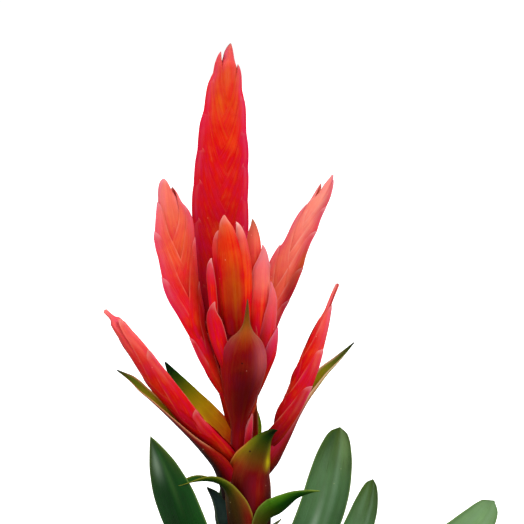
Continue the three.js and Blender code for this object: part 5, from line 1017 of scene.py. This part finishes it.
# a lighter copy of LEAF_LOOK for the right-hand leaves, painted lighter as lit from the right; its inside patches are
# painted highlights (the light spots) and painted shade (the dark bands along the margins)
LEAF_LOOK_PAINTED_LIT = dict(
    mid=[(0, "#5a4a2a"), (0.10, "#6a6a34"), (0.22, "#4a6a34"), (0.45, "#486e40"), (0.75, "#4e7448"), (0.93, "#54784a"), (1, "#4a5a1c")],
    inside_patches=[(0.60, -0.2, 0.12, 0.12, "#b0c8b0", 0.55), (0.80, 0.25, 0.2, 0.14, "#88ac88", 0.5), (0.9, -0.45, 0.1, 0.2, "#7ca078", 0.4),
                    (0.7, 0.9, 0.5, 0.16, "#2c4c28", 0.5), (0.7, -0.95, 0.5, 0.12, "#34562c", 0.5), (0.66, 0.5, 0.2, 0.2, "#3c6034", 0.5)],
    edge=[(0, "#6a5a34"), (0.12, "#6a743a"), (0.25, "#507030"), (0.5, "#3c6428"), (0.8, "#3c6628"), (1, "#4a5a20")],
    inside=[(0, "#7a6c3c"), (0.12, "#6a7a3a"), (0.25, "#486c34"), (0.5, "#527650"), (0.8, "#5c8054"), (1, "#4c6024")])
# leaf_02's two lighter patches near the tip are painted highlights; leaf_04's added patches paint one side of the tip
# lighter and the other darker, as lit and shaded; leaf_09's lighter inside is painted light
LEAF_TONES = {
    "leaf_02": dict(patches=[(0.9, 0.35, 0.05, 0.3, "#9cb098", 0.6), (0.84, -0.2, 0.1, 0.12, "#4c6c3c", 0.5)]), "leaf_04": {**LEAF_LOOK_PAINTED_LIT, "inside_patches": LEAF_LOOK_PAINTED_LIT["inside_patches"] + [(0.95, 0.5, 0.08, 0.35, "#84a46c", 0.6), (0.95, -0.5, 0.08, 0.35, "#2c4814", 0.6)]}, "leaf_05": LEAF_LOOK_PAINTED_LIT, "leaf_09": {**LEAF_LOOK_PAINTED_LIT, "inside": [(0, "#7a6c3c"), (0.12, "#6a7a3a"), (0.3, "#5c8048"), (0.6, "#709664"), (1, "#7c9e6c")]}}

LEAF_SHAPES = {
    "leaf_02": dict(azimuth=205.7, sweep=-4.2, length=189.8, lift=[90, 82.6, 67.2, 68.0, 71.5, 68.4], width=15.6, point=1.9),
    "leaf_04": dict(azimuth=31.4, sweep=6.9, length=186.3, lift=[90, 82.9, 62.9, 61.6, 76.4, 78.9], width=16.2, point=0.9),
    "leaf_05": dict(azimuth=2.9, sweep=-0.6, length=164.6, lift=[90, 75.9, 54.0, 54.8, 71.0, 84.2], width=14.5, point=1.0),
    "leaf_09": dict(azimuth=344.0, sweep=-1.6, length=215.5, lift=[90, 75.7, 37.5, 25.2, 40.9, 63.7], width=17.5, point=0.8, twist=66),
}
for number, l in enumerate(LEAVES):
    l.update(LEAF_SHAPES.get(l["name"], {}))
    w, p = l["width"], l.get("point", 1)
    a0, a1 = math.radians(l["azimuth"]), math.radians(l["azimuth"] + l["sweep"])
    wrap = l["radius"] * math.sin(math.radians(SHEATH_ANGLE))
    s = dict(spine=leaf_spine(l), thickness=0.8, keel=0.04, twist=l["twist"], seed=40.0 + 5.3 * number, ruffle=0.5,
             side0=[math.sin(a0), -math.cos(a0), 0], side1=[math.sin(a1), -math.cos(a1), 0],
             rows=[[0, wrap, SHEATH_ANGLE], [0.1, wrap, SHEATH_ANGLE], [0.26, w * 0.78, 47], [0.45, w * 0.94, 38], [0.62, w, 31],
                   [0.76, w * 0.95 ** p, 27], [0.87, w * 0.79 ** p, 24], [0.94, w * 0.56 ** p, 22], [0.98, w * 0.33 ** p, 21], [1, 0.0, 20]])
    sheet(s, l["name"] + "_fine", [l["name"]], LEAF, painter({**LEAF_LOOK, **LEAF_TONES.get(l["name"], {})}, s["seed"]),
          nu=72, nv=24, mid=0.35, edge_roll=0.2, tip_round=True)

# ------------------------------------------------------------------ the stem
def stem():
    c, sides = Curve(STEM), 28
    radius = profile([[0, 10], [20, 10], [45, 5.2], [70, 4.2], [150, 3.8], [180, 3.1], [205, 2.5], [235, 1.7], [c.length, 0.9]])
    end = c.length - 34
    x = np.concatenate([np.linspace(0, 46, 60), np.linspace(47.5, end, 150)])
    C, T = c.at(x), c.tangent(x)
    T[0] = [0, 0, 1]
    A = across(np.broadcast_to(np.array([1.0, 0, 0]), T.shape), T)
    B = np.cross(T, A)
    ang = np.linspace(0, 2 * math.pi, sides, endpoint=False)
    ring = np.cos(x * 2 * math.pi / 3.1)
    r = radius(x) - 0.05 + 0.14 * ring * (1 - smooth(38, 60, x)) * smooth(0.5, 3, x)
    P = C[:, None] + A[:, None] * (r[:, None] * np.cos(ang))[..., None] + B[:, None] * (r[:, None] * np.sin(ang))[..., None]
    bumps = wobble(P, 0.35, 2.0) * (0.22 * (1 - smooth(30, 60, x)) * smooth(0.2, 2, x))[:, None]
    P = P + (A[:, None] * np.cos(ang)[None, :, None] + B[:, None] * np.sin(ang)[None, :, None]) * bumps[..., None]
    P[0, :, 2] = 0
    n = len(x)
    verts = np.concatenate([P.reshape(-1, 3), [[0, 0, 0]], c.at(np.array([end]))]) * MM
    faces = []
    for i in range(n - 1):
        for k in range(sides):
            a, b = i * sides + k, i * sides + (k + 1) % sides
            faces.append((a, b, b + sides, a + sides))
    foot, top = n * sides, n * sides + 1
    for k in range(sides):
        faces.append(((k + 1) % sides, k, foot))
        faces.append(((n - 1) * sides + k, (n - 1) * sides + (k + 1) % sides, top))
    tone = ramp([(0, "#8a7448"), (1.5, "#6a5230"), (18, "#5c4a2a"), (45, "#5a6a2c"), (120, "#6a7a30"), (160, "#8a3420"), (200, "#a00c14"), (440, "#b01018")], x)
    tones = np.broadcast_to(tone[:, None], (n, sides, 3)) * (1 + 0.18 * wobble(P, 0.3, 4.0))[..., None]
    tones = np.concatenate([tones.reshape(-1, 3), [rgb("#c8b080")], [rgb("#b01018")]])
    coords = np.stack(np.broadcast_arrays((x / 60.0)[:, None], (ang / (2 * math.pi))[None]), -1).reshape(-1, 2)
    coords = np.concatenate([coords, [[0, 0.5], [c.length / 60, 0.5]]])
    solid("stem_fine", verts, faces, tones, coords, STEM_SKIN, ["stem"], 60)


stem()

# ------------------------------------------------------------------ floor, light and camera
def stage():
    n = Net("floor_surface")
    pos = n.add("NewGeometry").outputs["Position"]
    length = n.add("VectorMath", operation="LENGTH")
    n.link(pos, length.inputs[0])
    far = n.range(length.outputs["Value"], 0.22, 0.62, 0.0, 1.0)
    grain = n.noise(pos, 30.0, 3.0)
    p = n.add("BsdfPrincipled")
    n.link(n.mix(grain, (0.84, 0.84, 0.84), (0.88, 0.88, 0.88)), p.inputs["Base Color"])
    p.inputs["Roughness"].default_value = 0.6
    p.inputs["Specular IOR Level"].default_value = 0.2
    p.inputs["Emission Color"].default_value = (1, 1, 1, 1)
    n.link(n.math("MULTIPLY", far, 1.0), p.inputs["Emission Strength"])
    out = n.add("OutputMaterial")
    n.link(p.outputs[0], out.inputs["Surface"])
    rings, sides = [0.0, 0.2, 0.5, 1.0, 2.0, 4.0, 8.0, 16.0], 64
    verts, faces = [(0, 0, -0.0002)], []
    for r in rings[1:]:
        verts += [(r * math.cos(2 * math.pi * k / sides), r * math.sin(2 * math.pi * k / sides), -0.0002) for k in range(sides)]
    for k in range(sides):
        faces.append((0, 1 + k, 1 + (k + 1) % sides))
    for i in range(len(rings) - 2):
        for k in range(sides):
            a, b = 1 + i * sides + k, 1 + i * sides + (k + 1) % sides
            faces.append((a, a + sides, b + sides, b))
    mesh = bpy.data.meshes.new("floor")
    mesh.from_pydata(verts, [], faces)
    mesh.materials.append(n.mat)
    floor = bpy.data.objects.new("floor", mesh)
    floor.visible_diffuse = floor.visible_glossy = False
    bpy.context.scene.collection.objects.link(floor)


def lamp(name, place, target, size, power, colour=(1, 1, 1)):
    data = bpy.data.lights.new(name, "AREA")
    data.shape, data.size, data.size_y = "RECTANGLE", size[0], size[1]
    data.energy, data.color = power, colour
    obj = bpy.data.objects.new(name, data)
    obj.location = place
    d = np.array(target, float) - np.array(place, float)
    obj.rotation_euler = (math.atan2(math.hypot(d[0], d[1]), -d[2]), 0, math.atan2(d[1], d[0]) - math.pi / 2)
    bpy.context.scene.collection.objects.link(obj)
    return obj


stage()
lamp("key", (1.0, -1.3, 1.45), (0, 0, 0.26), (1.0, 1.0), 21.0)
lamp("fill", (-1.3, -1.2, 0.7), (0, 0, 0.25), (1.2, 1.2), 6.0)
lamp("top", (-0.2, 0.5, 1.7), (0, 0, 0.25), (1.2, 1.2), 9.0)

world = bpy.data.worlds.new("studio")
bpy.context.scene.world = world
world.use_nodes = True
wt = world.node_tree
wt.nodes.clear()
w_out = wt.nodes.new("ShaderNodeOutputWorld")
w_bg = wt.nodes.new("ShaderNodeBackground")
w_co = wt.nodes.new("ShaderNodeTexCoord")
w_sep = wt.nodes.new("ShaderNodeSeparateXYZ")
w_map = wt.nodes.new("ShaderNodeMapRange")
w_low = wt.nodes.new("ShaderNodeMapRange")
w_mul = wt.nodes.new("ShaderNodeMath")
w_mul.operation = "MULTIPLY"
wt.links.new(w_co.outputs["Generated"], w_sep.inputs[0])
wt.links.new(w_sep.outputs["Z"], w_map.inputs["Value"])
wt.links.new(w_sep.outputs["Z"], w_low.inputs["Value"])
for key, v in (("From Min", 0.10), ("From Max", 0.30), ("To Min", 1.05), ("To Max", 0.7)):
    w_map.inputs[key].default_value = v
for key, v in (("From Min", -0.30), ("From Max", -0.06), ("To Min", 0.4), ("To Max", 1.0)):
    w_low.inputs[key].default_value = v
wt.links.new(w_map.outputs["Result"], w_mul.inputs[0])
wt.links.new(w_low.outputs["Result"], w_mul.inputs[1])
w_bg.inputs["Color"].default_value = (1, 1, 1, 1)
wt.links.new(w_mul.outputs[0], w_bg.inputs["Strength"])
wt.links.new(w_bg.outputs[0], w_out.inputs["Surface"])

cam = bpy.data.cameras.new("camera")
cam.sensor_width, cam.lens = 36, 36 * 2343.75 / 524
cam.clip_start, cam.clip_end = 0.05, 60
camera = bpy.data.objects.new("camera", cam)
camera.location = (0.0077, -1.4918, 0.4575)
camera.rotation_euler = (math.radians(84), 0, 0)
bpy.context.scene.collection.objects.link(camera)
bpy.context.scene.camera = camera
view = bpy.context.scene.view_settings
view.view_transform, view.look, view.exposure, view.gamma = "Standard", "None", 0.0, 1.0
